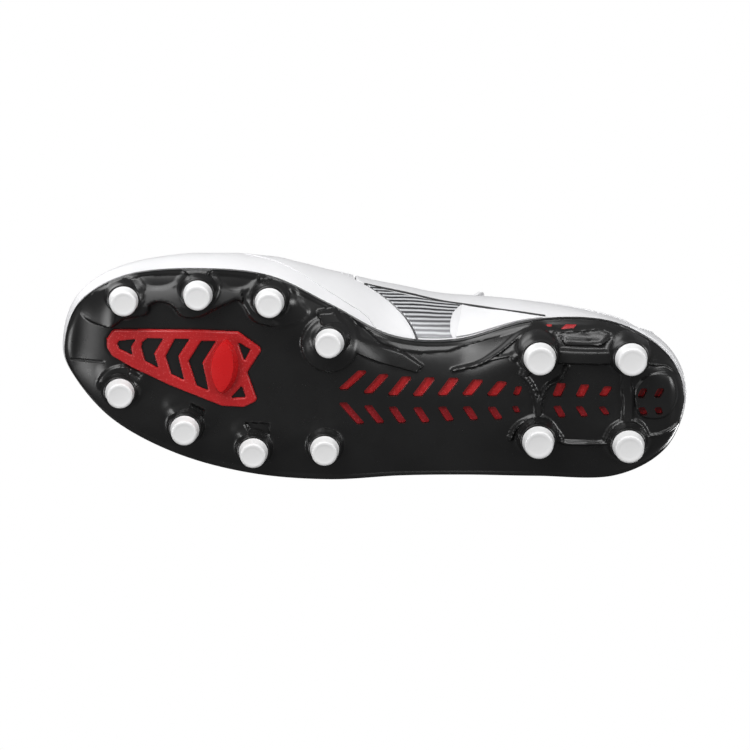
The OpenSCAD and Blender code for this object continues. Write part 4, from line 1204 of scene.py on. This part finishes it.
def make_tongue():
    line = curve(TONGUE_LINE, 16, closed=False)
    rows, cols = len(line), 49
    v = np.linspace(-1, 1, cols)
    along_dir = np.gradient(line[:, [0, 2]], axis=0)
    along_dir /= np.linalg.norm(along_dir, axis=1, keepdims=True)
    down = np.stack([along_dir[:, 1], np.zeros(rows), -along_dir[:, 0]], -1)
    down *= np.where(down[:, 2] > 0, -1, 1)[:, None]
    length = travelled(line[:, :3])
    near_end = np.minimum(length, length[-1] - length)
    pad = np.clip(near_end / 5.0, 0, 1)[:, None] ** 0.5 * (1 - np.abs(v)[None] ** 5)
    to_seam = np.abs(np.mod(length + 3, 15.5) - 7.75)
    quilted = (length > 70)[:, None] * (np.abs(v) < 0.8)[None]
    quilt = 1 - 0.5 * np.exp(-(to_seam / 1.5) ** 2)[:, None] * quilted
    rim_line = 1 - 0.35 * np.exp(-((np.abs(v)[None] - 0.82) / 0.035) ** 2)
    thick = 0.7 + 1.9 * pad * quilt * rim_line
    centre = line[:, None, :3].copy() - np.stack([0 * v, v, 0 * v], -1)[None] * line[:, 3, None, None]
    droop = line[:, 4, None] * v[None] ** 2 + 2.0
    mid = centre + droop[..., None] * down[:, None]
    top, low = mid - thick[..., None] * down[:, None], mid + thick[..., None] * down[:, None] * 0.9
    tongue = new_object("tongue_pad", *closed_grid(top, low), TONGUE, "leather", None)
    clean(tongue.data)
    uv = np.stack(np.broadcast_arrays(length[:, None], v[None] * 18), -1).reshape(-1, 2)
    set_uv(tongue, np.concatenate([uv, uv]))
    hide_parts("tongue", "tongue_top")
    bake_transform(tongue)
    rows_pts = []
    for side in (-0.82, 0.82):
        k = int(round((side + 1) / 2 * (cols - 1)))
        pts = top[4:-4, k] - 0.05 * down[4:-4]
        rows_pts.append((pts, -down[4:-4]))
    pts = top[-7, 5:-5] - 0.05 * down[-7]
    rows_pts.append((pts, np.broadcast_to(-down[-7], pts.shape)))
    seams = stitch_rows("tongue_stitching", rows_pts)
    seams.parent = None
    if "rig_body" in seams:
        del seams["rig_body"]
    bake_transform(seams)


LACE_ROUTE = [
    (-21, 14, 86), (-14.5, 23.5, 91.5), (-16, 27.5, 89.5), (-18, 23, 83.5), (-16.5, 18.5, 85.5),
    (-8, 7.5, 87), (0.5, -4, 85.5), (-1.5, -10.5, 82.5), (-4, -7, 76), (-2, 0, 79),
    (7.5, 12, 81.5), (17, 23.5, 80), (16.5, 30.5, 79), (14.5, 28, 71.5), (15, 21.5, 72.5),
    (25, 12.5, 75.5), (35, 4, 74.5), (35.5, -3.5, 72.5), (33, -1, 65.5), (32.5, 6, 67),
    (43, 15.5, 70), (53.5, 25, 69), (53.5, 32.5, 68.5), (51.5, 31, 61), (51.5, 23.5, 61.5),
    (51, 17.5, 61.5), (51, 12, 61.5), (53, 4, 60), (55.5, 2.5, 67.5), (53.5, 10.5, 69),
    (43.5, 17, 66), (33, 23.5, 67), (32.5, 30.5, 66), (34.5, 32.5, 73.5), (35, 25, 74.5),
    (25, 14, 72), (14.5, 3, 73), (14, -4, 71), (16.5, -7, 78), (17.5, 0, 80), (8, 10, 77.5),
    (-1.5, 20.5, 78.5), (-2.5, 25.5, 77.5), (-1, 28.5, 84.5), (0, 23, 85.5), (-8, 11.5, 83.5),
    (-16.5, -0.5, 85), (-19, -7, 81.5), (-17, -12, 88), (-14.5, -5, 91), (-21, 3, 86)]


def make_lace():
    path = curve(LACE_ROUTE, 10, closed=False)
    tangent = unit(np.gradient(path, axis=0))
    out = unit(path - np.stack([path[:, 0], np.full(len(path), 10.0), np.full(len(path), 30.0)], -1))
    across = np.zeros_like(path)
    last = unit(np.cross(tangent[0], out[0]))
    for i in range(len(path)):
        want = np.cross(tangent[i], out[i])
        want = want if want @ last >= 0 else -want
        last = last - (last @ tangent[i]) * tangent[i]
        last = unit(last + 0.35 * want)
        across[i] = last
    lace = sweep("lace_cord", path, across, 1.9, 0.72, LACE, "lace", sides=20, power=0.8)
    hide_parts("lace")


COLLAR = woven("collar_knit", (0.50, 0.50, 0.52), (0.80, 0.80, 0.81), 1.3, 0.85, 0.0002, 0.0, 0.3)
TONGUE = leather("tongue_leather", (0.72, 0.72, 0.73), (0.79, 0.79, 0.80), 0.5, 1.6)

make_outsole()
make_slot_floors()
make_shank()
make_studs()
make_insert()
make_upper()
make_lining()
make_collar()
make_tongue()
make_lace()
for node, material in (("insole_board", BOARD), ("toe_puff", FOAM),
                       ("heel_counter", FOAM), ("vamp_lining", FOAM)):
    mesh = frame["nodes"][node].data
    mesh.materials.clear()
    mesh.materials.append(material)


# ---------------------------------------------------------------- floor, light and camera
def make_floor(half=3000, level=-0.3):
    """A pale floor seen from above only: from below, and for rays that aren't the camera's, it is clear."""
    mat, tree, bsdf = node_material("floor")
    feed(tree, bsdf, {"Base Color": (0.5, 0.5, 0.505, 1), "Roughness": 0.9,
                      "Emission Color": (1, 1, 1, 1), "Emission Strength": 0.42})
    camera_ray = tree.nodes.new("ShaderNodeLightPath").outputs["Is Camera Ray"]
    from_below = tree.nodes.new("ShaderNodeNewGeometry").outputs["Backfacing"]
    seen = calculate(tree, "SUBTRACT", camera_ray, from_below, clamp=True)
    clear = tree.nodes.new("ShaderNodeBsdfTransparent")
    both = add(tree, "ShaderNodeMixShader", Fac=seen)
    tree.links.new(clear.outputs[0], both.inputs[1])
    tree.links.new(bsdf.outputs[0], both.inputs[2])
    tree.links.new(both.outputs[0], tree.nodes["Material Output"].inputs["Surface"])
    corners = [(-half, -half), (half, -half), (half, half), (-half, half)]
    floor = new_object("floor", [(x, y, level) for x, y in corners], [[0, 1, 2, 3]], mat, body=None)


def area_light(name, place, target, size, power, size_y=None):
    data = bpy.data.lights.new(name, "AREA")
    data.energy = power
    data.size = size
    if size_y:
        data.shape = "RECTANGLE"
        data.size_y = size_y
    obj = bpy.data.objects.new(name, data)
    bpy.context.scene.collection.objects.link(obj)
    obj.location = place
    obj.rotation_euler = (Vector(target) - Vector(place)).to_track_quat("-Z", "Y").to_euler()
    obj.visible_camera = False


def make_world():
    """Low even light, and a pale background for the camera that brightens upward."""
    world = bpy.data.worlds.new("studio")
    bpy.context.scene.world = world
    world.use_nodes = True
    tree = world.node_tree
    height = axis_of(tree, coordinate(tree, "Generated"), "Z")
    pale = ramp(tree, height, [(0.0, grey3(0.72)), (0.4, grey3(1.0))])
    camera_ray = tree.nodes.new("ShaderNodeLightPath").outputs["Is Camera Ray"]
    light = blended(tree, camera_ray, (0.15, 0.15, 0.153, 1), pale)
    tree.links.new(light, tree.nodes["Background"].inputs["Color"])


PX_PER_MM, PICTURE_PX, SENSOR = 2.18, 750, 36.0


def make_camera():
    """Seen from below the sole, 17.5 degrees round to the medial side, at the photo's scale."""
    tilt = math.radians(17.5)
    c, s = math.cos(tilt), math.sin(tilt)
    distance, rise = 1150.0, 25 / PX_PER_MM
    place = np.array([0, 0, 13.0]) + distance * np.array([0, s, -c]) + rise * np.array([0, c, s])
    data = bpy.data.cameras.new("camera")
    data.sensor_width = SENSOR
    data.lens = SENSOR * PX_PER_MM * distance / PICTURE_PX
    data.clip_start = 0.05
    data.clip_end = 20
    cam = bpy.data.objects.new("camera", data)
    bpy.context.scene.collection.objects.link(cam)
    turn = Matrix(((-1, 0, 0), (0, c, s), (0, s, -c)))
    place = (place + SHIFT) * MM
    cam.matrix_world = Matrix.Translation(Vector(place)) @ turn.to_4x4()
    bpy.context.scene.camera = cam


make_floor()
make_world()
area_light("key_below", (0.5, 0.85, -0.65), (0, 0, 0.02), 0.8, 10)
area_light("strip_medial", (-0.1, 1.0, -0.22), (0, 0, 0.03), 1.3, 7, 0.25)
area_light("toe_below", (0.95, -0.25, -0.72), (0.06, 0, 0.02), 0.4, 4)
area_light("heel_below", (-0.95, 0.2, -0.6), (-0.05, 0, 0.03), 0.4, 5)
area_light("key_above", (-0.5, -0.9, 1.3), (0, 0, 0.04), 0.9, 17)
area_light("fill_above", (0.9, 0.7, 1.0), (0, 0, 0.04), 1.0, 7)
make_camera()
bpy.context.scene.view_settings.view_transform = "Standard"
